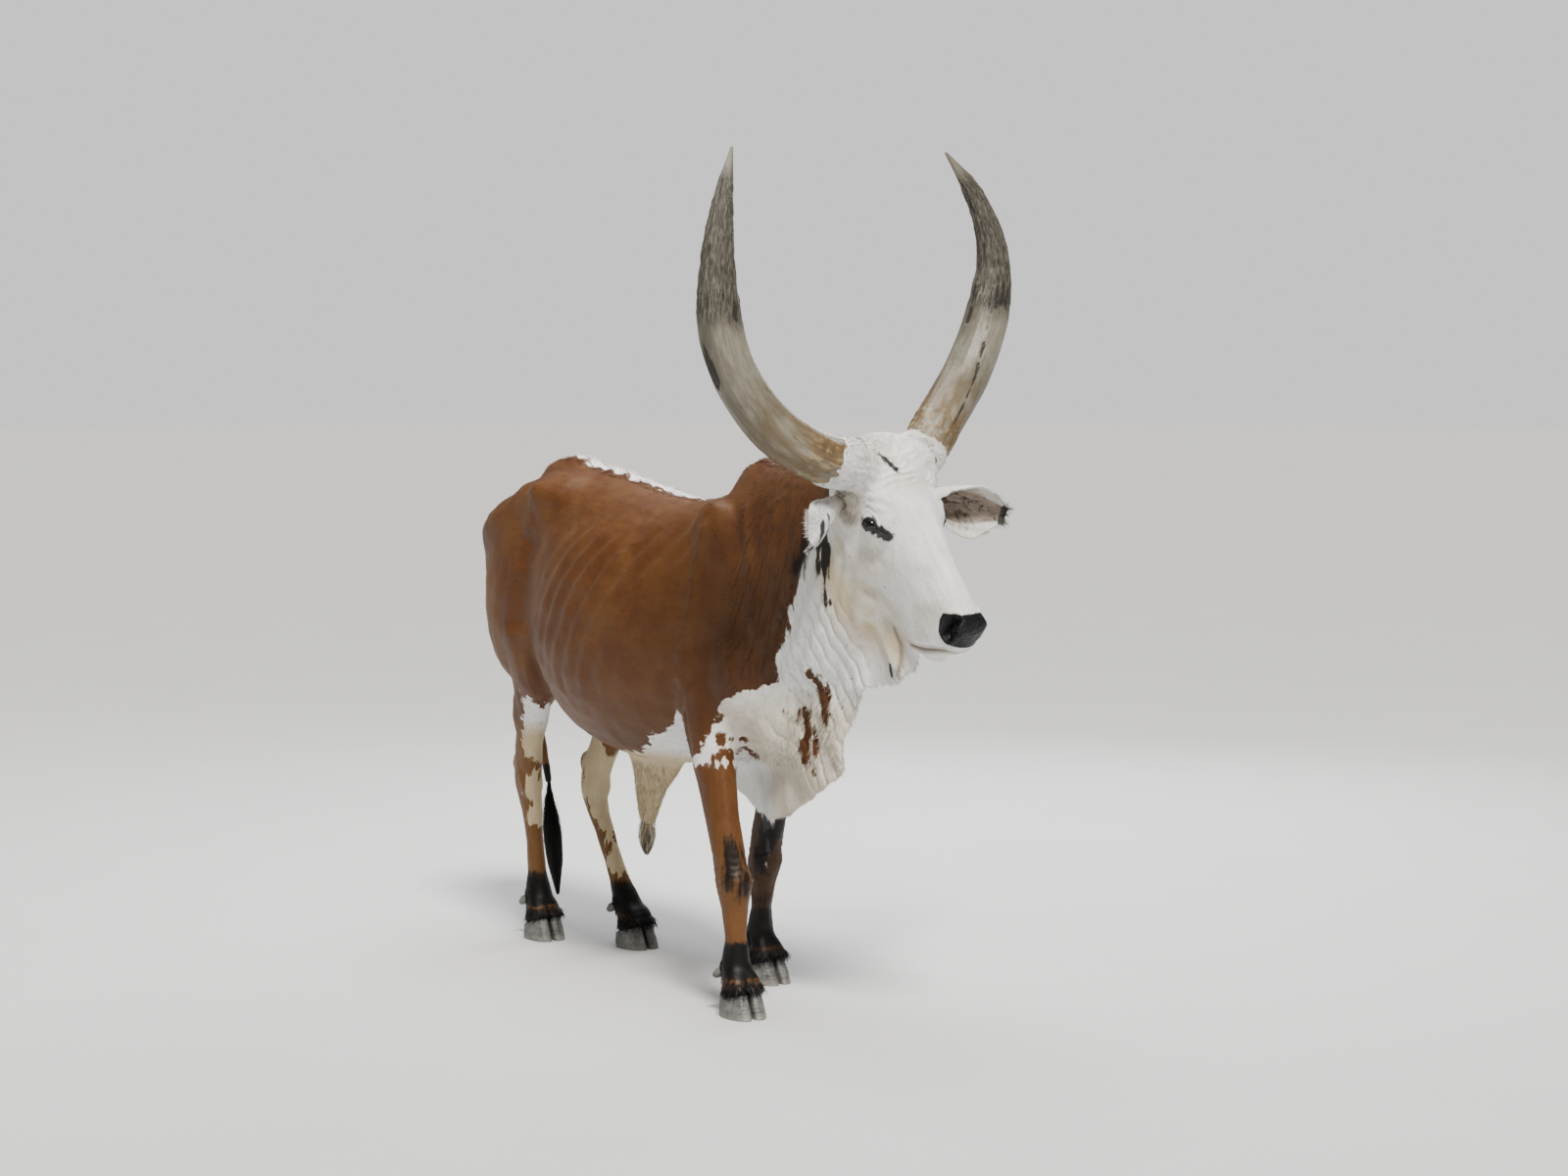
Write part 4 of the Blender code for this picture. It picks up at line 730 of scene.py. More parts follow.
def upright_share(points):
    """How far the hair runs down rather than back."""
    own = body_terms(points)
    return np.maximum(soft((0.66 - own[:, 2]) / 0.10), soft((own[:, 1] - 0.44) / 0.16))


def store_marks(mesh, points, facing, repeat=1, **changed):
    """Keep all marks on a mesh, each root's marks on as many vertices as its tuft has."""
    marks = markings(points, facing)
    marks["upright"] = upright_share(points)
    for name, values in {**marks, **changed}.items():
        store(mesh, name, np.repeat(values, repeat) if values.ndim < 2 else values.ravel())


# Lie of the hair.

def lie_of_hair(points, facing):
    """The way the hair points at many places, along the skin."""
    own = body_terms(points)
    side, ahead, up = own.T
    head = head_terms(points)
    on_face = soft((ahead - 0.76) / 0.05)[:, None]
    fall = -0.30 - 0.25 * soft((1.1 - up) / 0.5)
    trunk = np.stack((np.zeros(len(points)), np.ones(len(points)), fall), axis=1)
    leg = soft((0.66 - up) / 0.10)[:, None]
    down = np.array([0.0, 0.18, -1.0])
    neck = soft((ahead - 0.42) / 0.16)[:, None]
    back = np.array([0.0, 0.55, -0.85])
    way = trunk * (1 - neck) + back * neck
    way = way * (1 - leg) + down * leg
    whorl = head - np.array([0.0, 0.0, 0.115])
    face = HEAD_ALONG + HEAD_LEFT * np.clip(whorl[:, :1] * 5, -0.6, 0.6)
    crown = -HEAD_ALONG * 0.8 + HEAD_LEFT * np.clip(whorl[:, :1] * 8, -0.8, 0.8)
    above = soft(-whorl[:, 2:3] / 0.05)
    face = face * (1 - above) + crown * above
    way = way * (1 - on_face) + face * on_face
    gap, out = horn_root(points)
    rooted = (soft((0.080 - gap) / 0.012) * soft((out - 0.005) / 0.03))[:, None]
    way = way * (1 - rooted) + (HEAD_LEFT * np.sign(side)[:, None] + np.array([0.0, 0.0, 0.3])) * rooted
    return along_skin(way, facing)


# Relief of the skin.

RIB_COUNT = 7
RIB_FIRST = 0.235
RIB_STEP = 0.098
RIB_HEIGHT = 0.0029
PLEAT_STEP = 0.030
FOLD_STEP = 0.036
FAN_STEP = 0.085
KNOB_STEP = 0.070
# Each ridge of the trunk: its path as ahead and up, its half width and its height.
TRUNK_RIDGES = (
    (((0.326, 1.163), (0.310, 1.067), (0.318, 0.973), (0.307, 0.901), (0.285, 0.804)), 0.018, 0.0085),
    (((0.432, 1.213), (0.474, 1.122), (0.506, 1.030), (0.526, 0.915)), 0.016, 0.0070),
    (((0.510, 1.270), (0.500, 1.215), (0.508, 1.160)), 0.010, 0.0045),
    (((0.556, 1.285), (0.545, 1.235), (0.552, 1.180)), 0.010, 0.0045),
    (((0.602, 1.300), (0.592, 1.250), (0.600, 1.190)), 0.010, 0.0045),
    (((0.655, 1.305), (0.645, 1.250), (0.655, 1.190)), 0.011, 0.0040),
    (((-0.388, 1.193), (-0.420, 1.165)), 0.034, 0.0080),
    (((-0.520, 1.120), (-0.560, 0.980), (-0.600, 0.820)), 0.030, 0.0040),
    (((-0.180, 1.165), (-0.300, 1.145)), 0.040, -0.0080),
    (((-0.30, 0.80), (-0.36, 0.74), (-0.43, 0.70)), 0.018, -0.0060),
)
# The head's ridges and grooves, laid on its left side: nostril, cheek crest, bridge, vein and jaw.
HEAD_RIDGES = (
    (NOSTRIL_PATH, 0.0110, -0.0270),
    (((0.088, -0.105, 0.265), (0.066, -0.085, 0.400)), 0.014, 0.0040),
    (((0.020, 0.0, 0.200), (0.018, -0.020, 0.420)), 0.012, 0.0022),
    (((0.075, -0.060, 0.250), (0.070, -0.110, 0.300), (0.066, -0.150, 0.350)), 0.0035, 0.0018),
    (((0.060, -0.150, 0.380), (0.056, -0.185, 0.400), (0.050, -0.205, 0.430)), 0.007, -0.0025),
)


def grooves(distance, step, sharpness):
    """Narrow grooves that come round at each step: 1 at their floor, 0 between them."""
    return (1 - np.abs(np.sin(distance * math.pi / step))) ** sharpness


def trunk_relief(points):
    """Ribs, shoulder ridges, wrinkles of the collar, and the lap of the dewlap."""
    own = body_terms(points)
    side, ahead, up = own.T
    flat = own[:, 1:]
    broad = soft((np.abs(side) - 0.06) / 0.06)
    height = np.zeros(len(points))
    for index in range(RIB_COUNT):
        top = RIB_FIRST - RIB_STEP * index
        path = ((top, 1.10), (top - 0.050, 1.02), (top - 0.092, 0.90), (top - 0.100, 0.78))
        strength = RIB_HEIGHT * (1.0 - 0.07 * index) * (0.75 + 0.6 * rough(points, 0.11, 44))
        fade = soft((1.12 - up) / 0.12) * soft((up - 0.82) / 0.16)
        height += broad * strength * fade * bell(path_distance(flat, path), 0.029)
    for path, width, rise in TRUNK_RIDGES:
        height += broad * rise * bell(path_distance(flat, path), width)
    elbow = path_distance(flat, ((0.315, 0.720), (0.330, 0.660), (0.340, 0.610)))
    height -= 0.006 * bell(elbow, 0.010) * soft((np.abs(side) - 0.10) / 0.03)
    lap = soft((ahead - 0.46) / 0.08) * soft((1.06 - up) / 0.10) * soft((up - 0.44) / 0.06)
    lap = lap * (1 - soft((ahead - 0.93) / 0.03)) * soft((0.13 - np.abs(side)) / 0.05)
    pleats = grooves(ahead + up * 0.30 + 0.012 * rough(points, 0.10, 21), PLEAT_STEP, 2.2)
    height -= lap * 0.0085 * pleats * (0.65 + 0.5 * rough(points, 0.07, 22))
    height += lap * 0.0020 * rough(points * [1, 1, 0.3], 0.016, 34)
    collar = soft((ahead - 0.40) / 0.06) * soft((0.80 - ahead) / 0.05)
    collar = collar * soft((up - 0.80) / 0.08) * soft((1.22 - up) / 0.05)
    folds = grooves(ahead - 0.25 * up + 0.020 * rough(points * [1, 1, 0.3], 0.09, 35), FOLD_STEP, 3)
    height -= collar * broad * 0.0038 * folds
    height += broad * 0.0060 * bell(path_distance(flat, NECK_SCAR), 0.011) * np.where(side < 0, 1.0, 0.3)
    height += 0.0060 * bell(path_distance(flat, FLAP_FOLD), 0.007) * soft((0.07 - np.abs(side)) / 0.02)
    knobs = soft((-0.06 - ahead) / 0.05) * soft((ahead + 0.62) / 0.05) * soft((up - 1.15) / 0.03)
    wave = np.sin(ahead * 2 * math.pi / KNOB_STEP + 1.5 * rough(points, 0.2, 36))
    height += 0.0045 * knobs * bell(side - 0.005, 0.030) * wave
    fans = grooves(ahead * 0.9 - up * 0.55 + 0.03 * rough(points, 0.12, 37), FAN_STEP, 3)
    fans = fans * soft((0.34 - ahead) / 0.1) * soft((ahead + 0.10) / 0.1) * soft((up - 0.95) / 0.08)
    height -= broad * 0.0022 * fans
    height += 0.0016 * rough(points, 0.035, 23) * soft((up - 0.5) / 0.1)
    return height


def leg_relief(points):
    """Knees, tendons and the wrinkles above the feet."""
    own = body_terms(points)
    up = own[:, 2]
    leg = leg_of(own)
    height = np.zeros(len(points))
    folds = np.sin(up * 2 * math.pi / 0.011 + 2.5 * rough(points, 0.02, 31))
    low = soft((0.105 - up) / 0.02) * soft((up - 0.066) / 0.01)
    height += 0.0009 * folds * low
    knee = np.sin(up * 2 * math.pi / 0.017 + 2.5 * rough(points, 0.025, 32))
    fore = (leg == 0) | (leg == 1)
    height += 0.0010 * knee * np.where(fore, bell(up - 0.345, 0.055), 0.0)
    height += 0.0012 * rough(points * [1, 1, 0.4], 0.02, 33) * np.where(leg >= 0, 1.0, 0.0)
    return height


def head_relief(points):
    """Nostrils, line of the mouth, lips, chin, and the bones of the face."""
    head = head_terms(points)
    h_side, h_out, h_along = head.T
    pair = mirrored(head)
    height = np.zeros(len(points))
    for path, width, rise in HEAD_RIDGES:
        height += rise * bell(path_distance(pair, path), width)
    height += 0.0040 * bell(path_distance(pair, NOSTRIL_PATH) - 0.020, 0.006)
    mouth = path_distance(head[:, 1:], MOUTH_PATH)
    low_face = soft((h_along - 0.400) / 0.02)
    height -= low_face * 0.0055 * bell(mouth, 0.0030)
    height += low_face * 0.0020 * bell(mouth - 0.010, 0.006)
    brow = soft((0.155 - h_along) / 0.04) * soft((h_along + 0.01) / 0.02) * soft((h_out + 0.075) / 0.02)
    waves = np.sin((h_along + 0.030 * rough(points, 0.05, 42)) * 2 * math.pi / 0.019 + np.abs(h_side) * 40)
    height += 0.0013 * waves * brow * (0.7 + 0.5 * rough(points, 0.03, 43))
    above_eye = np.linalg.norm(pair - [0.104, -0.066, 0.190], axis=1)
    arcs = np.sin(above_eye * 2 * math.pi / 0.0125) * bell(above_eye - 0.052, 0.016)
    height += 0.0022 * arcs * soft((0.195 - h_along) / 0.03) * soft((h_out + 0.10) / 0.03)
    height -= 0.0080 * bell(h_side + 0.066, 0.016) * soft((0.030 - h_along) / 0.03)
    pad = pad_depth(head)
    height -= 0.0012 * bell(pad, 0.0022) * soft((h_along - 0.43) / 0.02)
    height += 0.0007 * rough(points, 0.006, 41) * soft(pad / 0.01)
    return height


def shape_lids(points):
    """Wrap the skin round each eyeball, with a slit for it and folds above and below."""
    points = points.copy()
    for side in (1, -1):
        gaze = eye_axes(side)[0]
        centre = eye_centre(side)
        lens, reach, rise = eye_lens(points, side)
        away = unit(points - centre)
        near = (reach < 0.075) & (away @ gaze > -0.15)
        lid = EYE_RADIUS + 0.0030 + 0.0012 * bell(lens - 1.16, 0.20)
        pull = soft((lens - 1.10) / 2.2)
        shaped = lid * (1 - pull) + np.maximum(reach, EYE_RADIUS + 0.0025) * pull
        crease = 0.0020 * bell(lens - 1.95, 0.16) * np.where(rise > 0, 1.0, 0.7)
        crease += 0.0016 * bell(lens - 2.75, 0.20) + 0.0013 * bell(lens - 3.6, 0.24)
        shaped = shaped - crease
        sunk = EYE_RADIUS * 0.80
        inside = soft((1.0 - lens) / 0.16)
        shaped = shaped * (1 - inside) + sunk * inside
        fade = soft((0.075 - reach) / 0.03)
        target = reach * (1 - fade) + shaped * fade
        points[near] = centre + away[near] * target[near][:, None]
    return points


# Finishes.

class Graph:
    """Short calls for building a node tree."""

    def __init__(self, tree):
        self.tree = tree

    def add(self, kind, **settings):
        made = self.tree.nodes.new(kind)
        for key, value in settings.items():
            setattr(made, key, value)
        return made

    def join(self, source, target):
        self.tree.links.new(source, target)

    def put(self, value, socket):
        if isinstance(value, bpy.types.NodeSocket):
            self.join(value, socket)
        else:
            socket.default_value = value

    def sum(self, operation, first, second, third=0.0):
        made = self.add("ShaderNodeMath", operation=operation)
        for value, socket in zip((first, second, third), made.inputs):
            self.put(value, socket)
        return made.outputs[0]

    def plus(self, first, second):
        return self.sum("ADD", first, second)

    def minus(self, first, second):
        return self.sum("SUBTRACT", first, second)

    def times(self, first, second):
        return self.sum("MULTIPLY", first, second)

    def times_plus(self, first, second, third):
        return self.sum("MULTIPLY_ADD", first, second, third)

    def grey(self, value):
        made = self.add("ShaderNodeCombineColor")
        for socket in made.inputs:
            self.join(value, socket)
        return made.outputs[0]

    def blend(self, amount, first, second):
        made = self.add("ShaderNodeMix", data_type="FLOAT")
        for value, index in ((amount, 0), (first, 2), (second, 3)):
            self.put(value, made.inputs[index])
        return made.outputs[0]

    def mix(self, amount, first, second, blend="MIX"):
        made = self.add("ShaderNodeMix", data_type="RGBA", blend_type=blend)
        self.put(amount, made.inputs[0])
        self.put(first, made.inputs[6])
        self.put(second, made.inputs[7])
        return made.outputs[2]

    def noise(self, vector, scale, detail=2.0, roughness=0.5):
        made = self.add("ShaderNodeTexNoise")
        self.put(vector, made.inputs["Vector"])
        self.put(scale, made.inputs["Scale"])
        made.inputs["Detail"].default_value = detail
        made.inputs["Roughness"].default_value = roughness
        return made.outputs["Fac"]

    def stretch(self, vector, scale, turn=(0.0, 0.0, 0.0)):
        made = self.add("ShaderNodeMapping", vector_type="POINT")
        self.put(vector, made.inputs["Vector"])
        made.inputs["Rotation"].default_value = turn
        made.inputs["Scale"].default_value = scale
        return made.outputs[0]

    def span(self, value, low, high, smooth_step=True):
        made = self.add("ShaderNodeMapRange", interpolation_type="SMOOTHSTEP" if smooth_step else "LINEAR")
        self.put(value, made.inputs["Value"])
        made.inputs["From Min"].default_value = low
        made.inputs["From Max"].default_value = high
        return made.outputs["Result"]

    def mark(self, name, kind="Fac"):
        return self.add("ShaderNodeAttribute", attribute_name=name, attribute_type="GEOMETRY").outputs[kind]

    def place(self):
        return self.add("ShaderNodeTexCoord").outputs["Object"]

    def bump(self, height, strength, distance, normal=None):
        made = self.add("ShaderNodeBump")
        made.inputs["Strength"].default_value = strength
        made.inputs["Distance"].default_value = distance
        self.put(height, made.inputs["Height"])
        if normal is not None:
            self.put(normal, made.inputs["Normal"])
        return made.outputs[0]


def new_group(name, inputs, outputs):
    """An empty shader group with named sockets."""
    tree = bpy.data.node_groups.new(name, "ShaderNodeTree")
    for label, kind, value in inputs:
        socket = tree.interface.new_socket(label, in_out="INPUT", socket_type=kind)
        socket.default_value = value
    for label, kind in outputs:
        tree.interface.new_socket(label, in_out="OUTPUT", socket_type=kind)
    graph = Graph(tree)
    return graph, graph.add("NodeGroupInput").outputs, graph.add("NodeGroupOutput").inputs


def hair_streaks_group():
    """Streaks along the lie of the hair, on trunk, legs and face."""
    name = "ox_hair_streaks"
    if name in bpy.data.node_groups:
        return bpy.data.node_groups[name]
    graph, given, out = new_group(name, [("Scale", "NodeSocketFloat", 1.0)],
                                  [("Streak", "NodeSocketFloat"), ("Height", "NodeSocketFloat"),
                                   ("Edge", "NodeSocketFloat")])
    where = graph.add("ShaderNodeVectorMath", operation="SCALE")
    graph.join(graph.place(), where.inputs[0])
    graph.join(given["Scale"], where.inputs["Scale"])
    where = where.outputs[0]
    turn = Matrix((Vector(HEAD_LEFT), Vector(HEAD_OUT), Vector(HEAD_ALONG))).to_euler()
    trunk = graph.stretch(where, (1.0, 0.10, 0.75))
    legs = graph.stretch(where, (1.0, 1.0, 0.10))
    face = graph.stretch(graph.stretch(where, (1.0, 1.0, 1.0), turn), (1.0, 0.8, 0.14))
    upright = graph.mark("upright")
    on_face = graph.mark("face")

    def along_lie(scale, detail, roughness):
        body, leg, head = (graph.noise(vector, scale, detail, roughness) for vector in (trunk, legs, face))
        return graph.blend(on_face, graph.blend(upright, body, leg), head)

    fine = along_lie(520.0, 2.0, 0.6)
    broad = along_lie(95.0, 3.0, 0.55)
    for label, share in (("Streak", 0.55), ("Height", 0.6), ("Edge", 0.35)):
        graph.join(graph.plus(graph.times(fine, share), graph.times(broad, 1 - share)), out[label])
    return graph.tree


COAT_TONES = ("Chestnut", "Dark", "Tan", "White", "Cream", "Black", "Pink", "Pad")


def coat_colour_group():
    """The coat's colour from its marks, with ragged edges of hair. Nostrils and the low flank are darkened as
    painted shade.
    """
    name = "ox_coat_colour"
    if name in bpy.data.node_groups:
        return bpy.data.node_groups[name]
    inputs = [(label, "NodeSocketColor", (0.5, 0.5, 0.5, 1.0)) for label in COAT_TONES]
    inputs += [(label, "NodeSocketFloat", 0.5) for label in ("Streak", "Edge")]
    inputs += [("Raggedness", "NodeSocketFloat", 0.03)]
    outputs = [("Color", "NodeSocketColor"), ("Pale", "NodeSocketFloat"), ("Wet", "NodeSocketFloat")]
    graph, given, out = new_group(name, inputs, outputs)
    ragged = graph.times(graph.minus(given["Edge"], 0.5), given["Raggedness"])
    where = graph.place()
    patchy = graph.noise(where, 9.0, 3.0, 0.5)
    warm = graph.mix(0.45, given["Chestnut"], given["Tan"])
    colour = graph.mix(graph.span(patchy, 0.35, 0.75), given["Chestnut"], warm)
    # The dark mark holds the darker coat of neck and shoulder, and painted shade on the low flank.
    edged = graph.span(graph.plus(given["Edge"], graph.mark("dark")), 0.45, 1.15)
    dark = graph.times(graph.mark("dark"), edged)
    colour = graph.mix(dark, colour, given["Dark"])
    colour = graph.mix(graph.mark("tan"), colour, given["Tan"])
    pale = graph.span(graph.plus(graph.mark("white"), ragged), -0.0022, 0.0022)
    pale_colour = graph.mix(graph.mark("cream"), given["White"], given["Cream"])
    specks = graph.span(graph.noise(where, 190.0, 1.0, 0.4), 0.715, 0.775)
    specks = graph.times(specks, graph.times(graph.mark("face"), 0.75))
    spots = graph.span(graph.noise(where, 60.0, 1.0, 0.4), 0.765, 0.795)
    specks = graph.sum("MAXIMUM", specks, graph.times(spots, 0.7))
    pale_colour = graph.mix(specks, pale_colour, graph.mix(0.35, given["Black"], given["White"]))
    colour = graph.mix(pale, colour, pale_colour)
    colour = graph.mix(graph.mark("pink"), colour, given["Pink"])
    shade = graph.plus(graph.times(given["Streak"], 1.10), 0.42)
    colour = graph.mix(0.75, colour, graph.grey(shade), "MULTIPLY")
    smut = graph.plus(graph.mark("soot"), graph.times(graph.minus(given["Edge"], 0.5), 2.2))
    smut = graph.times(graph.span(smut, 0.30, 0.85), graph.span(graph.mark("soot"), 0.02, 0.25))
    colour = graph.mix(graph.times(smut, 0.92), colour, given["Black"])
    night = graph.span(graph.plus(graph.mark("black"), graph.times(ragged, 0.9)), -0.0030, 0.0030)
    colour = graph.mix(graph.times(night, 0.95), colour, given["Black"])
    wet = graph.span(graph.mark("pad"), -0.0015, 0.0015)
    colour = graph.mix(wet, colour, given["Pad"])
    # Painted shade: the inside of each nostril painted near black.
    nostril_shade = graph.span(graph.mark("nostril"), -0.0020, 0.0030)
    colour = graph.mix(nostril_shade, colour, (0.0015, 0.0015, 0.0016, 1.0))
    lip = graph.span(graph.mark("mouth"), -0.0015, 0.0015)
    colour = graph.mix(graph.times(lip, 0.55), colour, given["Pink"])
    graph.join(colour, out["Color"])
    graph.join(pale, out["Pale"])
    graph.join(wet, out["Wet"])
    return graph.tree


def place_group(graph, tree, **values):
    """Put a group in a material, with its own values."""
    made = graph.add("ShaderNodeGroup", node_tree=tree)
    for label, value in values.items():
        graph.put(value, made.inputs[label])
    return made.outputs


def opaque(colour):
    """A colour with full alpha."""
    return (*colour, 1.0)


def start_material(name):
    """A material with an empty tree, its graph and its shader."""
    made = bpy.data.materials.new(name)
    made.use_nodes = True
    tree = made.node_tree
    tree.nodes.clear()
    graph = Graph(tree)
    shader = graph.add("ShaderNodeBsdfPrincipled")
    end = graph.add("ShaderNodeOutputMaterial")
    graph.join(shader.outputs[0], end.inputs["Surface"])
    return made, graph, shader.inputs


def coat_finish(name, tuft=False):
    """Slick short coat, or the same on tufts with painted shade at their roots."""
    if name in bpy.data.materials:
        return bpy.data.materials[name]
    tones = bpy.context.scene.ox_colours
    made, graph, shader = start_material(name)
    streaks = place_group(graph, hair_streaks_group(), Scale=1.0)
    coat_tones = {label: opaque(getattr(tones, label.lower())) for label in COAT_TONES}
    coat = place_group(graph, coat_colour_group(), Streak=streaks["Streak"], Edge=streaks["Edge"],
                       Raggedness=0.042, **coat_tones)
    colour = coat["Color"]
    if tuft:
        # Painted shade on tufts: darker towards the roots, with a random tone for each tuft.
        shade = graph.span(graph.mark("shade"), 0.0, 1.0, False)
        colour = graph.mix(1.0, colour, graph.grey(graph.times_plus(shade, 0.95, 0.50)), "MULTIPLY")
    graph.join(colour, shader["Base Color"])
    dry = graph.times_plus(streaks["Streak"], 0.25, 0.36)
    dry = graph.times_plus(coat["Pale"], 0.14, dry)
    graph.join(graph.blend(coat["Wet"], dry, 0.30), shader["Roughness"])
    shader["Sheen Weight"].default_value = 0.05
    shader["Sheen Roughness"].default_value = 0.40
    shader["Sheen Tint"].default_value = (0.90, 0.78, 0.66, 1.0)
    shader["Specular IOR Level"].default_value = 0.36
    if not tuft:
        pebbles = graph.add("ShaderNodeTexVoronoi", feature="F1")
        pebbles.inputs["Scale"].default_value = 420.0
        graph.join(graph.place(), pebbles.inputs["Vector"])
        wet_height = graph.times(coat["Wet"], pebbles.outputs["Distance"])
        height = graph.plus(streaks["Height"], graph.times(wet_height, 0.8))
        graph.join(graph.bump(height, 0.55, 0.0022), shader["Normal"])
    return made


def horn_finish():
    """Grey-tan horn with amber at its base, cracks along it and dark frayed flakes."""
    name = "ox_horn_sheath"
    if name in bpy.data.materials:
        return bpy.data.materials[name]
    tones = bpy.context.scene.ox_colours
    made, graph, shader = start_material(name)
    grain = graph.mark("grain", "Vector")
    fibre = graph.noise(graph.stretch(grain, (1.0, 1.0, 0.12)), 160.0, 4.0, 0.65)
    cloud = graph.noise(graph.stretch(grain, (1.0, 1.0, 0.35)), 16.0, 4.0, 0.6)
    rings = graph.noise(graph.stretch(grain, (0.15, 0.15, 1.0)), 60.0, 3.0, 0.55)
    height_up = graph.mark("length")
    colour = graph.mix(graph.span(cloud, 0.36, 0.64), opaque(tones.horn), opaque(tones.horn_grey))
    base = graph.span(height_up, 0.42, 0.08)
    base = graph.times(base, graph.span(cloud, 0.66, 0.42))
    colour = graph.mix(graph.times(base, 0.75), colour, opaque(tones.amber))
    scab = graph.times(graph.mark("scab"), graph.span(fibre, 0.30, 0.60))
    crusted = graph.times(graph.span(fibre, 0.35, 0.7), 0.5)
    crust = graph.mix(crusted, opaque(tones.amber), opaque(tones.cream))
    colour = graph.mix(scab, colour, crust)
    strands = graph.noise(graph.stretch(grain, (1.0, 1.0, 0.16)), 260.0, 5.0, 0.75)
    frayed = graph.mix(graph.span(strands, 0.38, 0.66), opaque(tones.horn_worn), opaque(tones.horn_tip))
    frayed = graph.mix(graph.span(strands, 0.60, 0.74), frayed, opaque(tones.horn_grey))
    colour = graph.mix(graph.times(graph.mark("weather"), 0.85), colour, frayed)
    lines = graph.times_plus(fibre, 1.1, 0.42)
    colour = graph.mix(0.85, colour, graph.grey(lines), "MULTIPLY")
    frayed_edge = graph.times(graph.minus(fibre, 0.5), 0.9)
    worn = graph.span(graph.plus(graph.mark("flake"), frayed_edge), 0.42, 0.62)
    colour = graph.mix(graph.times(worn, 0.85), colour, opaque(tones.horn_worn))
    graph.join(colour, shader["Base Color"])
    graph.join(graph.times_plus(worn, 0.25, 0.42), shader["Roughness"])
    shader["Specular IOR Level"].default_value = 0.4
    height = graph.plus(graph.times(fibre, 0.5), graph.times(rings, 0.2))
    height = graph.plus(height, graph.times(graph.mark("weather"), graph.times(strands, 1.3)))
    height = graph.minus(height, graph.times(worn, 0.30))
    graph.join(graph.bump(height, 0.65, 0.0032), shader["Normal"])
    return made


def hoof_finish():
    """Slate horn of the claws, with fine upright lines and dust at the sole."""
    name = "ox_hoof_wall"
    if name in bpy.data.materials:
        return bpy.data.materials[name]
    tones = bpy.context.scene.ox_colours
    made, graph, shader = start_material(name)
    where = graph.place()
    lines = graph.noise(graph.stretch(where, (1.0, 1.0, 0.12)), 380.0, 3.0, 0.6)
    rings = graph.noise(graph.stretch(where, (0.12, 0.12, 1.0)), 240.0, 2.0, 0.5)
    cloud = graph.noise(where, 30.0, 4.0, 0.6)
    colour = graph.mix(graph.span(cloud, 0.35, 0.70), opaque(tones.hoof), opaque(tones.hoof_pale))
    colour = graph.mix(graph.times(graph.span(lines, 0.45, 0.75), 0.5), colour, opaque(tones.dust))
    split = graph.add("ShaderNodeSeparateXYZ")
    graph.join(where, split.inputs[0])
    low = graph.span(graph.plus(split.outputs["Z"], graph.times(cloud, 0.02)), 0.030, 0.004)
    colour = graph.mix(graph.times(low, 0.6), colour, opaque(tones.dust))
    graph.join(colour, shader["Base Color"])
    graph.join(graph.times_plus(cloud, 0.3, 0.35), shader["Roughness"])
    height = graph.plus(graph.times(lines, 0.5), rings)
    graph.join(graph.bump(height, 0.5, 0.0015), shader["Normal"])
    return made


def eye_finish():
    """Dark brown eye with a long pupil under a wet surface."""
    name = "ox_eye"
    if name in bpy.data.materials:
        return bpy.data.materials[name]
    tones = bpy.context.scene.ox_colours
    made, graph, shader = start_material(name)
    turned = graph.mark("gaze_reach")
    iris = graph.span(turned, 0.78, 0.72)
    pupil = graph.span(graph.mark("pupil"), 1.05, 0.92)
    fibres = graph.noise(graph.place(), 900.0, 3.0, 0.6)
    brown = graph.mix(fibres, opaque(tones.iris), opaque(tones.black))
    colour = graph.mix(iris, opaque(tones.eye_white), brown)
    colour = graph.mix(pupil, colour, (0.004, 0.004, 0.006, 1.0))
    graph.join(colour, shader["Base Color"])
    shader["Roughness"].default_value = 0.12
    shader["Coat Weight"].default_value = 1.0
    shader["Coat Roughness"].default_value = 0.03
    return made


def floor_finish():
    """Plain pale floor."""
    made, graph, shader = start_material("pale_floor")
    mottled = graph.noise(graph.place(), 2.0, 3.0, 0.5)
    colour = graph.mix(mottled, (0.66, 0.66, 0.655, 1.0), (0.70, 0.70, 0.695, 1.0))
    graph.join(colour, shader["Base Color"])
    shader["Roughness"].default_value = 0.85
    return made


# Sizes and colours that a user may change.

class OxSizes(bpy.types.PropertyGroup):
    """Sizes of the dressed animal."""
    skin_voxel: FloatProperty(name="Skin grid", description="Grid on which the flesh is fused", default=0.006,
                              min=0.003, max=0.02, unit="LENGTH")
    coat_depth: FloatProperty(name="Coat depth", description="How far the skin lies inside the solids",
                              default=0.0012, min=0.0, max=0.01, unit="LENGTH")
    horn_relief: FloatProperty(name="Horn relief", description="Height of the flakes on the horns",
                               default=0.0035, min=0.0, max=0.01, unit="LENGTH")
    hair_length: FloatProperty(name="Body hair", description="Length of the short hair on the body",
                               default=0.014, min=0.004, max=0.04, unit="LENGTH")


def tone(name, described, value):
    """A colour that a user may change."""
    return FloatVectorProperty(name=name, description=described, subtype="COLOR", size=3, min=0.0, max=1.0,
                               default=value)


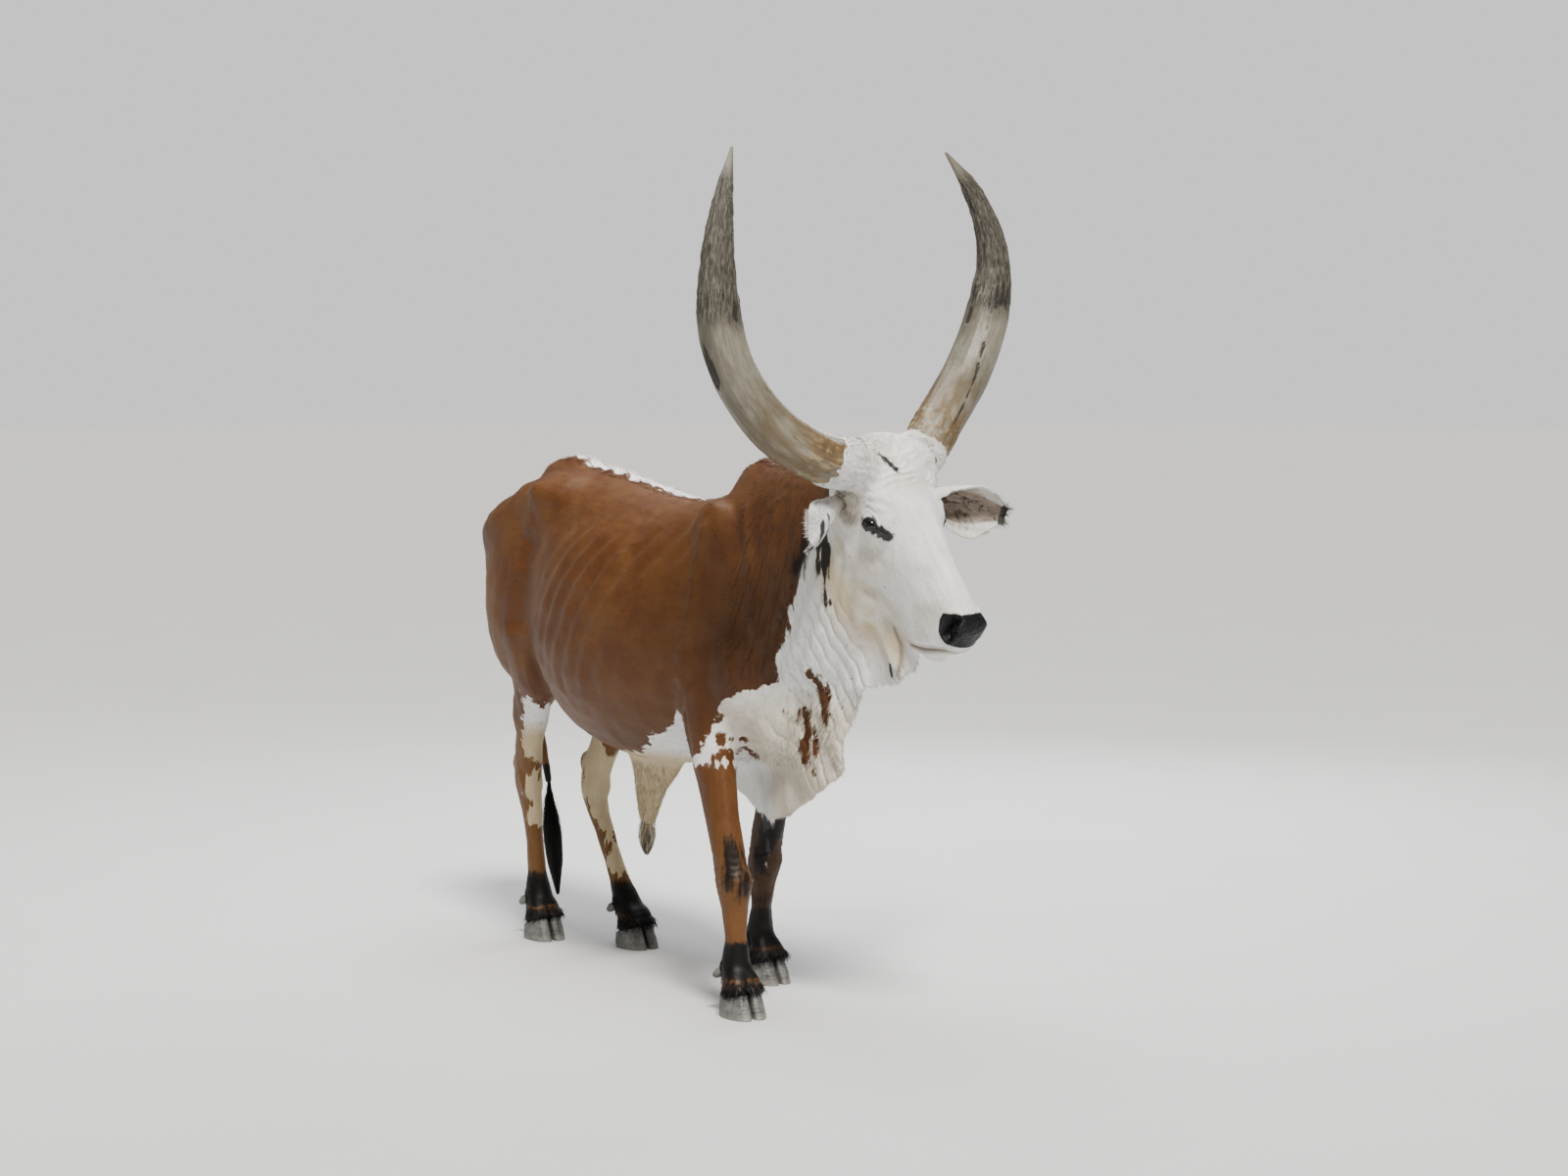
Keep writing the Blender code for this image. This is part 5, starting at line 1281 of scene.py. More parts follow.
class OxColours(bpy.types.PropertyGroup):
    """Colours of the animal."""
    chestnut: tone("Chestnut", "Main coat", (0.112, 0.044, 0.0155))
    # Dark coat: the darker tone of neck and shoulder, and painted shade on the lower flank.
    dark: tone("Dark coat", "Neck, shoulder and lower flank", (0.040, 0.023, 0.013))
    tan: tone("Tan", "Thigh edge and legs", (0.175, 0.088, 0.032))
    white: tone("White", "Face, neck and patches", (0.745, 0.740, 0.720))
    cream: tone("Cream", "Throat, belly and jaw", (0.520, 0.435, 0.290))
    black: tone("Black", "Lids, fetlocks and switch", (0.006, 0.0053, 0.005))
    pink: tone("Inner ear", "Bare skin in the ear and at the mouth", (0.260, 0.185, 0.130))
    pad: tone("Nose pad", "Wet slate skin of the nose", (0.0105, 0.0112, 0.0125))
    horn: tone("Horn", "Grey-tan horn", (0.145, 0.130, 0.098))
    horn_grey: tone("Grey horn", "Paler grey horn", (0.270, 0.250, 0.200))
    amber: tone("Horn base", "Amber of the horn's base", (0.165, 0.100, 0.038))
    horn_worn: tone("Worn horn", "Dark flaking horn", (0.030, 0.0255, 0.0195))
    horn_tip: tone("Horn tip", "Grey of the tips", (0.215, 0.198, 0.165))
    hoof: tone("Hoof", "Slate wall of the claws", (0.090, 0.090, 0.086))
    hoof_pale: tone("Pale hoof", "Paler wall of the claws", (0.225, 0.222, 0.210))
    dust: tone("Dust", "Dust low on the claws", (0.360, 0.340, 0.300))
    iris: tone("Iris", "Brown of the eye", (0.016, 0.008, 0.004))
    eye_white: tone("Eye rim", "Edge of the eyeball", (0.030, 0.020, 0.015))


# Pieces.

# Middle of each horn in the head's turn but upright: out to its side, ahead and up, with its radius.
HORN_ROWS = {
    "horn_right": (
        (0.100, -0.001, 1.334, 0.0530), (0.158, -0.003, 1.343, 0.0560), (0.230, -0.010, 1.364, 0.0570),
        (0.303, -0.042, 1.413, 0.0562), (0.357, -0.073, 1.487, 0.0550), (0.403, -0.088, 1.570, 0.0540),
        (0.429, -0.091, 1.660, 0.0510), (0.438, -0.089, 1.760, 0.0420), (0.430, -0.091, 1.855, 0.0315),
        (0.400, -0.105, 1.955, 0.0190), (0.353, -0.134, 2.050, 0.0030),
    ),
    "horn_left": (
        (0.098, 0.000, 1.344, 0.0530), (0.160, -0.019, 1.378, 0.0565), (0.227, -0.049, 1.425, 0.0575),
        (0.300, -0.073, 1.482, 0.0575), (0.358, -0.085, 1.538, 0.0575), (0.412, -0.091, 1.622, 0.0555),
        (0.442, -0.090, 1.705, 0.0515), (0.454, -0.089, 1.795, 0.0415), (0.440, -0.093, 1.885, 0.0320),
        (0.400, -0.112, 1.980, 0.0205), (0.338, -0.137, 2.066, 0.0030),
    ),
}


# Haired skin round the horns: which side, and how far out it ends on top and below.
COLLARS = (("horn_right", -1, 0.075, 0.118), ("horn_left", 1, 0.034, 0.060))


def horn_frame(name, side, lengths):
    """Centres and radii along a horn, with two ways across it."""
    ahead, left = level_axes()
    rows = catmull_rom(HORN_ROWS[name], lengths)
    centres = at(0.0, POLL_AHEAD, 0.0) + left * (side * rows[:, :1]) + ahead * rows[:, 1:2]
    centres = centres + np.array([0, 0, 1.0]) * rows[:, 2:3]
    tangents = unit(np.gradient(centres, axis=0))
    wide = unit(ahead - tangents * (tangents @ ahead)[:, None])
    return centres, np.maximum(rows[:, 3], 0.002), wide, np.cross(tangents, wide)


def collar_mesh(name, side, reach_top, reach_low):
    """Haired skin round the root of a horn, ending on a slant."""
    around = 48
    rings = 30
    centres, radii, wide, rise = horn_frame(name, side, 400)
    walked = walked_along(centres)
    angle = np.linspace(0, 2 * math.pi, around, endpoint=False)
    up_share = rise[0, 2] / abs(rise[0, 2])
    end = reach_low + (reach_top - reach_low) * (0.5 + 0.5 * up_share * np.sin(angle))
    end = end + 0.008 * np.sin(angle * 3 + 1.0)
    points = []
    for t in np.arange(rings) / (rings - 1):
        spot = end * t
        middle, across, over = (np.stack([np.interp(spot, walked, axis) for axis in field.T], axis=1)
                                for field in (centres, wide, rise))
        radius = np.interp(spot, walked, radii) + 0.0085 - 0.0120 * soft((t - 0.62) / 0.38)
        points.append(middle + across * (np.cos(angle) * radius)[:, None]
                      + over * (np.sin(angle) * radius)[:, None])
    return swept_mesh("collar", np.concatenate(points), rings, around)


def walked_along(centres):
    """Length walked at each place of a curve."""
    return np.concatenate(([0.0], np.cumsum(np.linalg.norm(np.diff(centres, axis=0), axis=1))))


def swept_mesh(name, points, rings, around):
    """A closed mesh over rings of points."""
    index = np.arange(rings * around).reshape(rings, around)
    after = np.roll(index, -1, axis=1)
    quads = np.stack((index[:-1], after[:-1], after[1:], index[1:]), axis=2).reshape(-1, 4)
    mesh = mesh_from(name, points, quads)
    work = bmesh.new()
    work.from_mesh(mesh)
    bmesh.ops.holes_fill(work, edges=[e for e in work.edges if len(e.link_faces) == 1], sides=0)
    bmesh.ops.recalc_face_normals(work, faces=work.faces)
    work.to_mesh(mesh)
    work.free()
    return mesh


def horn_root(points):
    """How far places lie from the axis of the nearer horn's root, and how far out along it."""
    gap = np.full(len(points), 9.0)
    out = np.zeros(len(points))
    for name, side in (("horn_right", -1), ("horn_left", 1)):
        centres = horn_frame(name, side, 12)[0][:4]
        near = path_distance(points, centres)
        way = unit(centres[3] - centres[0])
        nearer = near < gap
        gap = np.where(nearer, near, gap)
        out = np.where(nearer, (points - centres[0]) @ way, out)
    return gap, out


def horn_mesh(name, side, relief):
    """A horn swept along its curve, with rings at its base, a crack and frayed flakes."""
    around = 96
    lengths = 384
    centres, radii, wide, rise = horn_frame(name, side, lengths)
    angle = np.linspace(0, 2 * math.pi, around, endpoint=False)
    walked = walked_along(centres)
    share = walked / walked[-1]
    turn, reach = np.meshgrid(angle, walked)
    portion = np.repeat(share[:, None], around, axis=1)
    grain = np.stack((np.cos(turn) * 0.05, np.sin(turn) * 0.05, reach), axis=2).reshape(-1, 3)
    flat_share = portion.ravel()
    flat_turn = turn.ravel()
    seed = 51 if side > 0 else 61
    cloud = rough(grain * [1, 1, 0.30], 0.030, seed)
    fibres = rough(grain * [1, 1, 0.10], 0.008, seed + 1)

    def swing_from(turned):
        return np.abs((flat_turn - turned + math.pi) % (2 * math.pi) - math.pi)

    def patch(facing_turn, width, low, high):
        near = soft(1.5 - swing_from(math.radians(facing_turn)) / math.radians(width))
        return near * soft((flat_share - low) / 0.06) * soft((high - flat_share) / 0.10)

    weather = soft((flat_share - 0.515 + 0.03 * cloud) / 0.07)
    weather = weather * soft((0.955 - flat_share + 0.02 * cloud) / 0.06)
    band = soft((flat_share - 0.53) / 0.03) * soft((0.65 - flat_share) / 0.05)
    if side < 0:
        patches = (1.05 * patch(-112, 34, 0.385, 0.60), 0.80 * patch(-60, 34, 0.39, 0.47))
        flake = np.maximum.reduce((*patches, 0.45 * band, 0.30 * weather))
    else:
        patches = (0.95 * patch(5, 34, 0.53, 0.70), 0.80 * patch(-100, 13, 0.45, 0.60))
        flake = np.maximum.reduce((*patches, 0.40 * band, 0.32 * weather))
    flake = np.clip(flake * (0.80 + 0.75 * cloud + 0.60 * fibres), 0, 1)
    base = soft((0.19 - flat_share) / 0.05) * soft((0.62 + np.cos(flat_turn - math.radians(-75))) / 0.5)
    scab = base * soft(0.30 + 1.6 * rough(grain, 0.010, seed + 2))
    rings = np.sin(reach.ravel() * 2 * math.pi / 0.021 + 4.0 * rough(grain, 0.04, 55))
    height = 0.00035 * rings * soft((0.50 - flat_share) / 0.35) * (0.6 + 0.8 * rough(grain, 0.05, 58))
    height -= relief * soft((flake - 0.45) / 0.25) * (0.6 + 0.6 * fibres)
    height += weather * (0.0020 * fibres + 0.0024 * rough(grain * [1, 1, 0.35], 0.007, seed + 3))
    height += 0.0030 * scab + 0.0010 * fibres
    crack_turn = math.radians(-20 if side > 0 else -150) + 0.25 * np.sin(flat_share * 9)
    crack = swing_from(crack_turn) + 0.06 * rough(grain, 0.02, 57)
    run = soft((flat_share - 0.10) / 0.05) * soft((0.52 - flat_share) / 0.05)
    height -= 0.0030 * bell(crack, 0.035) * run
    flake = np.maximum(flake, 1.1 * bell(crack, 0.045) * run)
    shrink = np.minimum(1.0, radii / 0.02)
    radius = radii[:, None] + (height.reshape(lengths, around) - 0.0006) * shrink[:, None]
    points = (centres[:, None, :] + wide[:, None, :] * (np.cos(turn) * radius)[:, :, None]
              + rise[:, None, :] * (np.sin(turn) * radius)[:, :, None]).reshape(-1, 3)
    mesh = swept_mesh(name, points, lengths, around)
    for label, values in (("flake", flake), ("weather", weather), ("scab", scab), ("length", flat_share)):
        store(mesh, label, values)
    store_vector(mesh, "grain", grain)
    return mesh


# Tufts.

PATCH = 0.003
NECK_FROM = 0.42

# Tufts per square metre of skin.
TRUNK_TUFTS = 18000.0
NECK_TUFTS = 34000.0
LEG_TUFTS = 40000.0
EDGE_TUFTS = 26000.0
HAM_TUFTS = 12000.0
FOOT_TUFTS = 60000.0
FACE_TUFTS = 138000.0
POLL_TUFTS = 75000.0
EAR_TUFTS = 60000.0
EAR_RIM_TUFTS = 140000.0
HORN_FIBRES = 15000.0


def strand_mesh(name, rings, patches, count):
    """Flat strands from the points along each, in pairs up to one at the tip, with their OFBake map."""
    each = len(rings)
    faces = []
    for low in range(0, each - 3, 2):
        faces += [(low, low + 1, low + 3), (low, low + 3, low + 2)]
    faces.append((each - 3, each - 2, each - 1))
    faces = (np.arange(count)[:, None, None] * each + np.array(faces)).reshape(-1, 3)
    mesh = mesh_from(name, np.stack(rings, axis=1).reshape(-1, 3), faces)
    corner = np.empty(len(mesh.loops), dtype=np.int32)
    mesh.loops.foreach_get("vertex_index", corner)
    held = mesh.uv_layers.new(name="OFBake")
    chart = np.stack(patches, axis=1).reshape(-1, 2)[corner]
    held.data.foreach_set("uv", np.ascontiguousarray(chart, dtype=np.float32).ravel())
    return mesh


def add_rung(points, patch, middle, edge, chart, t):
    """Both edges of strands at one step from root to tip, or their tips, and their OFBake places."""
    for sign in (0.0,) if t == 1 else (-1.0, 1.0):
        points.append(middle + edge * sign)
        patch.append(chart + PATCH * np.array([sign * 0.35, t - 0.5]))


def strand_steps(rows):
    """How far from root to tip each point of a strand lies."""
    return np.array([row / rows for row in range(rows) for _ in range(2)] + [1.0])


def skin_chart(points):
    """Where each place lies on an unwrap of the skin: trunk, head, legs, tail and ears side by side."""
    own = body_terms(points)
    side, ahead, up = own.T
    head = head_terms(points)
    turn = np.arctan2(side, up - 0.93) / (2 * math.pi) + 0.5
    chart = np.stack((0.02 + 0.58 * np.clip((ahead + 0.95) / 2.0, 0, 1), 0.02 + 0.58 * turn), axis=1)
    spin = np.arctan2(head[:, 0], head[:, 1] + 0.11) / (2 * math.pi) + 0.5
    face = np.stack((0.63 + 0.34 * np.clip((head[:, 2] + 0.06) / 0.62, 0, 1), 0.02 + 0.34 * spin), axis=1)
    chart = np.where((head_zone(own) > 0.5)[:, None], face, chart)
    leg = leg_of(own)
    for index, (mid_side, mid_ahead) in enumerate(LEG_MIDDLES):
        round_leg = np.arctan2(side - mid_side, ahead - mid_ahead) / (2 * math.pi) + 0.5
        tile = np.stack((0.02 + 0.24 * index + 0.21 * round_leg, 0.64 + 0.33 * np.clip(up / 0.62, 0, 1)), 1)
        chart = np.where((leg == index)[:, None], tile, chart)
    tail = (ahead < -0.84) & (up < 1.0)
    strand = np.stack((0.63 + 0.34 * np.clip(up, 0, 1), 0.40 + 0.08 * ((side * 9) % 1.0)), axis=1)
    chart = np.where(tail[:, None], strand, chart)
    for which, low in ((1, 0.50), (-1, 0.57)):
        out, across, away, _, _ = ear_terms(points, which)
        here = (out > 0.12) & (away < 0.085) & (side * which > 0.08)
        leaf = (0.63 + 0.34 * np.clip(out, 0, 1), low + 0.025 + 0.022 * np.clip(across, -1, 1))
        leaf = np.stack(leaf, axis=1)
        chart = np.where(here[:, None], leaf, chart)
    return chart


def roots_on(mesh, density, seed):
    """Places spread over a mesh by a density per square metre, with their normals."""
    mesh.calc_loop_triangles()
    corners = np.empty(len(mesh.loop_triangles) * 3, dtype=np.int32)
    mesh.loop_triangles.foreach_get("vertices", corners)
    corners = corners.reshape(-1, 3)
    points = coordinates(mesh)
    facing = normals(mesh)
    a, b, c = (points[corners[:, index]] for index in range(3))
    area = np.linalg.norm(np.cross(b - a, c - a), axis=1) / 2
    weight = area * density((a + b + c) / 3)
    draw = np.random.default_rng(seed)
    count = int(weight.sum())
    pick = np.searchsorted(np.cumsum(weight), draw.random(count) * weight.sum())
    pick = np.minimum(pick, len(corners) - 1)
    first = np.sqrt(draw.random(count))[:, None]
    second = draw.random(count)[:, None]
    shares = (1 - first, first * (1 - second), first * second)
    where = sum(share * points[corners[pick, index]] for index, share in enumerate(shares))
    normal = unit(sum(share * facing[corners[pick, index]] for index, share in enumerate(shares)))
    return where, normal


def tuft_mesh(name, roots, facing, way, length, width, lift, droop, rows, seed, **changed):
    """Thin tapered tufts that rise a little from their roots and bend back along their lie, with painted
    shade darker towards each root.
    """
    count = len(roots)
    draw = np.random.default_rng(seed)
    length = np.broadcast_to(length, (count,)) * draw.uniform(0.75, 1.2, count)
    width = np.broadcast_to(width, (count,)) * draw.uniform(0.8, 1.2, count)
    lift = np.broadcast_to(lift, (count,)) * draw.uniform(0.6, 1.4, count)
    across = unit(np.cross(way, facing))
    way = unit(way + across * draw.normal(0, 0.16, (count, 1)))
    across = unit(np.cross(way, facing))
    roll = draw.normal(0, 0.35, (count, 1))
    across = across * np.cos(roll) + facing * np.sin(roll)
    chart = skin_chart(roots)
    bend = draw.normal(0, 0.10, count)
    points = []
    patch = []
    for row in range(rows + 1):
        t = row / rows
        middle = roots + way * (length * t)[:, None]
        middle = middle + facing * (length * lift * t * (1 - droop * t) - 0.0006)[:, None]
        middle = middle + across * (bend * length * t * t)[:, None]
        half = width / 2 * (0.75 + 0.5 * t) * (1 - t ** 1.5)
        add_rung(points, patch, middle, across * half[:, None], chart, t)
    each = len(points)
    mesh = strand_mesh(name, points, patch, count)
    spread = {key: np.repeat(value[:, None], each, axis=1) for key, value in changed.items()}
    store_marks(mesh, roots, facing, each, **spread)
    # Painted shade: each tuft darker towards its root, mixed with a random tone of its own.
    store(mesh, "shade", (0.55 * draw.random(count)[:, None] + 0.45 * strand_steps(rows)).ravel())
    return mesh


def add_coat(name, mesh):
    """Put tufts over the skin."""
    item = new_piece(name, mesh, coat_finish("ox_tufts", tuft=True))
    return item


def grow(name, density, seeds, size, width, lift, droop, rows=2, swirl=0.0):
    """Tufts over part of the skin, along the lie of the hair."""
    roots, facing = roots_on(bpy.data.objects["ox_skin"].data, density, SEED + seeds[0])
    lie = lie_of_hair(roots, facing)
    if swirl:
        lie = unit(lie + np.cross(lie, facing) * rough(roots, 0.022, 71)[:, None] * swirl)
    length = size(roots) if callable(size) else size
    add_coat(name, tuft_mesh(name, roots, facing, lie, length, width, lift, droop, rows, SEED + seeds[1]))


class OX_OT_skin(bpy.types.Operator):
    """Fuse the flesh into one skin and give it its relief and marks"""
    bl_idname = "ox.skin"
    bl_label = "Skin"

    def execute(self, context):
        sizes = context.scene.ox_sizes
        collars = [collar_mesh(*row) for row in COLLARS]
        mesh = fused(FLESH + list(EYES), sizes.skin_voxel, OVERLAP, "ox_skin", collars)
        own = body_terms(coordinates(mesh))
        trunk = soft((own[:, 2] - 0.55) / 0.12) * (1 - soft((own[:, 1] - 0.70) / 0.10))
        tail = soft((-0.80 - own[:, 1]) / 0.03)
        smooth(mesh, 45, np.clip(0.45 + 0.55 * trunk - 0.3 * tail, 0.1, 1.0))
        place(mesh, coordinates(mesh) - normals(mesh) * sizes.coat_depth)
        for item in EARS:
            self.add_ear(mesh, item)
        self.refine_front(mesh)
        points = coordinates(mesh)
        facing = normals(mesh)
        on_face = soft((body_terms(points)[:, 1] - 0.76) / 0.04)
        relief = trunk_relief(points) * (1 - on_face) + leg_relief(points) + head_relief(points) * on_face
        relief = np.where(self.near_ears(points), 0.0, relief)
        points = shape_lids(points + facing * relief[:, None])
        place(mesh, points)
        store_marks(mesh, points, normals(mesh))
        item = new_piece("ox_skin", mesh, coat_finish("ox_coat"))
        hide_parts(*FLESH, *EARS)
        return {"FINISHED"}

    def refine_front(self, mesh):
        """Finer, smoother mesh on neck and head, and again on the muzzle and round the eyes."""
        points = coordinates(mesh)
        own = body_terms(points)
        refine(mesh, (own[:, 1] > 0.44) & (own[:, 2] > 0.42) & ~self.near_ears(points))
        points = coordinates(mesh)
        smooth(mesh, 4, (body_terms(points)[:, 1] > 0.44) & ~self.near_ears(points))
        refine(mesh, self.near_eyes(mesh, 0.052) | self.on_muzzle(mesh))
        smooth(mesh, 5, self.on_muzzle(mesh))
        head = head_terms(coordinates(mesh))
        tip = soft((head[:, 2] - 0.430) / 0.03) * soft((head[:, 1] + 0.13) / 0.02)
        smooth(mesh, 32, tip, keep_volume=False)
        refine(mesh, self.near_eyes(mesh, 0.036))
        smooth(mesh, 2, self.near_eyes(mesh, 0.05))

    def on_muzzle(self, mesh):
        """Whether vertices lie on the muzzle."""
        head = mirrored(head_terms(coordinates(mesh)))
        return (head[:, 2] > 0.395) & (head[:, 1] > -0.235) & (head[:, 0] < 0.12)

    def near_eyes(self, mesh, reach):
        """Whether vertices lie within reach of an eye."""
        return np.linalg.norm(mirrored(head_terms(coordinates(mesh))) - EYE_SPOT, axis=1) < reach

    def near_ears(self, points):
        """Whether places lie on an ear."""
        head = head_terms(points)
        own = body_terms(points)
        return (np.abs(head[:, 0]) > 0.118) & (head[:, 2] < 0.125) & (own[:, 1] > 0.78) & (own[:, 2] < 1.31)

    def add_ear(self, mesh, node):
        """Join an ear's own finer mesh to the skin."""
        ear = fused([node], 0.0021, OVERLAP, node + "_flesh")
        smooth(ear, 8, 0.8)
        if node == "ear_right":
            root = on_head(-EAR_ROOT[0], *EAR_ROOT[1:])
            place(ear, root + (coordinates(ear) - root) * RIGHT_EAR_SHARE)
        base = bpy.data.objects.new("base", mesh)
        tool = bpy.data.objects.new("tool", ear)
        for item in (base, tool):
            bpy.context.collection.objects.link(item)
        join = base.modifiers.new("join", "BOOLEAN")
        join.operation = "UNION"
        join.solver = "MANIFOLD"
        join.object = tool
        shown = base.evaluated_get(bpy.context.evaluated_depsgraph_get())
        result = bpy.data.meshes.new_from_object(shown)
        if len(result.vertices) < len(mesh.vertices) * 0.9:
            raise RuntimeError("the ear could not be joined to the skin")
        work = bmesh.new()
        work.from_mesh(result)
        bmesh.ops.remove_doubles(work, verts=work.verts, dist=1e-6)
        work.to_mesh(mesh)
        work.free()
        bpy.data.objects.remove(base)
        bpy.data.objects.remove(tool)
        bpy.data.meshes.remove(result)
        bpy.data.meshes.remove(ear)
        side = 1 if node == "ear_left" else -1
        near = np.linalg.norm(head_terms(coordinates(mesh)) - np.array(EAR_ROOT) * [side, 1, 1], axis=1)
        smooth(mesh, 10, soft((0.055 - near) / 0.02), keep_volume=False)


class OX_OT_eyes(bpy.types.Operator):
    """Round, wet eyeballs set deep in the lids"""
    bl_idname = "ox.eyes"
    bl_label = "Eyes"

    def execute(self, context):
        for name, side in (("eye_left", 1), ("eye_right", -1)):
            gaze, inner, up = eye_axes(side)
            work = bmesh.new()
            bmesh.ops.create_uvsphere(work, u_segments=72, v_segments=48, radius=1.0)
            mesh = bpy.data.meshes.new("ox_" + name)
            work.to_mesh(mesh)
            work.free()
            ball = coordinates(mesh)
            turned = np.arccos(np.clip(ball[:, 2], -1, 1))
            cornea = 1.0 + 0.035 * soft((0.80 - turned) / 0.45)
            radius = EYE_RADIUS * 0.975 * cornea
            turned_ball = ball @ np.stack((inner, up, gaze))
            place(mesh, turned_ball * radius[:, None] + eye_centre(side))
            store(mesh, "gaze_reach", turned)
            pupil = np.sqrt((ball[:, 0] / 0.42) ** 2 + (ball[:, 1] / 0.20) ** 2)
            store(mesh, "pupil", pupil + np.where(ball[:, 2] < 0, 9, 0))
            item = new_piece("ox_" + name, mesh, eye_finish())
            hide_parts(name)
        return {"FINISHED"}


class OX_OT_horns(bpy.types.Operator):
    """Long horns with rings, a crack and frayed flakes"""
    bl_idname = "ox.horns"
    bl_label = "Horns"

    def execute(self, context):
        relief = context.scene.ox_sizes.horn_relief
        for name, side in (("horn_left", 1), ("horn_right", -1)):
            item = new_piece("ox_" + name, horn_mesh(name, side, relief), horn_finish())
            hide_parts(name)
            self.fray("ox_horn_fray_" + name[5:], item.data, SEED + 15 + side)
        return {"FINISHED"}

    def fray(self, name, horn, seed):
        """Loose fibres that stand off the weathered upper half."""
        def weathered(points):
            up = body_terms(points)[:, 2] + 0.03 * rough(points, 0.05, 63)
            return np.where((up > 1.67) & (up < 2.01), HORN_FIBRES, 0.0)
        roots, facing = roots_on(horn, weathered, seed)
        way = np.array([0.0, 0.0, -1.0]) + 0.5 * facing
        way = along_skin(way, facing, 0.6)
        mesh = tuft_mesh(name, roots, facing, way, 0.0085, 0.0009, 0.22, 0.3, 2, seed)
        each = len(mesh.vertices) // len(roots)
        for label, value in (("flake", 0.10), ("weather", 1.0), ("scab", 0.0), ("length", 0.7)):
            store(mesh, label, np.full(len(mesh.vertices), value))
        store_vector(mesh, "grain", np.repeat(roots, each, axis=0))
        new_piece(name, mesh, horn_finish())


class OX_OT_hooves(bpy.types.Operator):
    """Claws and dewclaws with growth lines"""
    bl_idname = "ox.hooves"
    bl_label = "Claws"

    def execute(self, context):
        for name in CLAWS + DEWCLAWS:
            small = name in DEWCLAWS
            mesh = fused([name], 0.0018 if small else 0.0030, 0.0, "ox_" + name)
            smooth(mesh, 6 if small else 9, soft((coordinates(mesh)[:, 2] - 0.002) / 0.008))
            points = coordinates(mesh)
            level = points[:, 2] * 2 * math.pi / 0.0085 + 1.2 * rough(points, 0.02, 61)
            height = 0.0006 * np.sin(level) * soft((points[:, 2] - 0.006) / 0.01) - 0.0004
            height = height + 0.0006 * rough(points, 0.012, 62)
            if not small:
                points = points + normals(mesh) * height[:, None]
            points[:, 2] = np.maximum(points[:, 2], 0.0)
            place(mesh, points)
            item = new_piece("ox_" + name, mesh, hoof_finish())
            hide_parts(name)
        return {"FINISHED"}


def clear_of_eyes(points):
    """0 on the eyes and their lids, 1 elsewhere."""
    out = np.ones(len(points))
    for side in (1, -1):
        lens, reach, _ = eye_lens(points, side)
        out = np.where((reach < LID_REACH) & (lens < LID_WIDTH), 0.0, out)
    return out


class OX_OT_body_coat(bpy.types.Operator):
    """Short flat hair over trunk, neck, legs and tail, longer along the edges of the body"""
    bl_idname = "ox.body_coat"
    bl_label = "Body coat"

    def execute(self, context):
        length = context.scene.ox_sizes.hair_length
        for side, label in ((1, "left"), (-1, "right")):
            def on_trunk(points):
                own = self.on_half(points, side)
                return np.where(own & (body_terms(points)[:, 1] <= NECK_FROM), TRUNK_TUFTS, 0.0)

            def on_neck(points):
                own = self.on_half(points, side)
                return np.where(own & (body_terms(points)[:, 1] > NECK_FROM), NECK_TUFTS, 0.0)

            grow("ox_coat_trunk_" + label, on_trunk, (side, 3), length, 0.0014, 0.10, 0.9)
            grow("ox_coat_neck_" + label, on_neck, (5 + side, 6), length * 1.1, 0.0013, 0.12, 0.8)

        def leg_length(roots):
            return length * np.interp(body_terms(roots)[:, 2], (0.05, 0.12, 0.6), (0.75, 0.6, 0.9))

        grow("ox_coat_legs", self.on_legs, (9, 10), leg_length, 0.0012, 0.12, 0.8)
        grow("ox_coat_edges", self.on_edges, (12, 13), length * 1.7, 0.0016, 0.24, 0.55, 3)
        return {"FINISHED"}

    def on_half(self, points, side):
        """Whether places lie on one side of the body, above the legs."""
        own = body_terms(points)
        return (head_zone(own) < 0.5) & (leg_of(own) < 0) & (own[:, 0] * side > 0)

    def on_legs(self, points):
        own = body_terms(points)
        return np.where((leg_of(own) >= 0) & (own[:, 1] > -0.83), LEG_TUFTS, 0.0)

    def on_edges(self, points):
        own = body_terms(points)
        side, ahead, up = own.T
        leg = leg_of(own)
        flap = (ahead > 0.30) & (up < 0.80) & (np.abs(side) < 0.075) & (leg < 0)
        ridge = (np.abs(side) < 0.03) & (up > 1.20) & (ahead > -0.7) & (ahead < 0.78)
        belly = (up < 0.62) & (np.abs(side) < 0.12) & (ahead < 0.3) & (leg < 0)
        sheath = (up < 0.54) & (np.abs(side) < 0.06) & (ahead > -0.30) & (ahead < 0.0)
        ham = (ahead < -0.80) & (up > 0.7) & (np.abs(side) < 0.12)
        crown = (leg >= 0) & (up < 0.088) & (up > 0.060)
        behind = np.array(FETLOCK_MIDDLE)[np.clip(leg, 0, 3)] - ahead > 0.02
        fetlock = (leg >= 0) & (up < 0.135) & (up > 0.09) & behind
        amount = EDGE_TUFTS * (flap | ridge | belly | sheath) + HAM_TUFTS * ham
        amount = amount + FOOT_TUFTS * crown + FOOT_TUFTS * fetlock
        return np.where(head_zone(own) < 0.5, amount, 0.0)


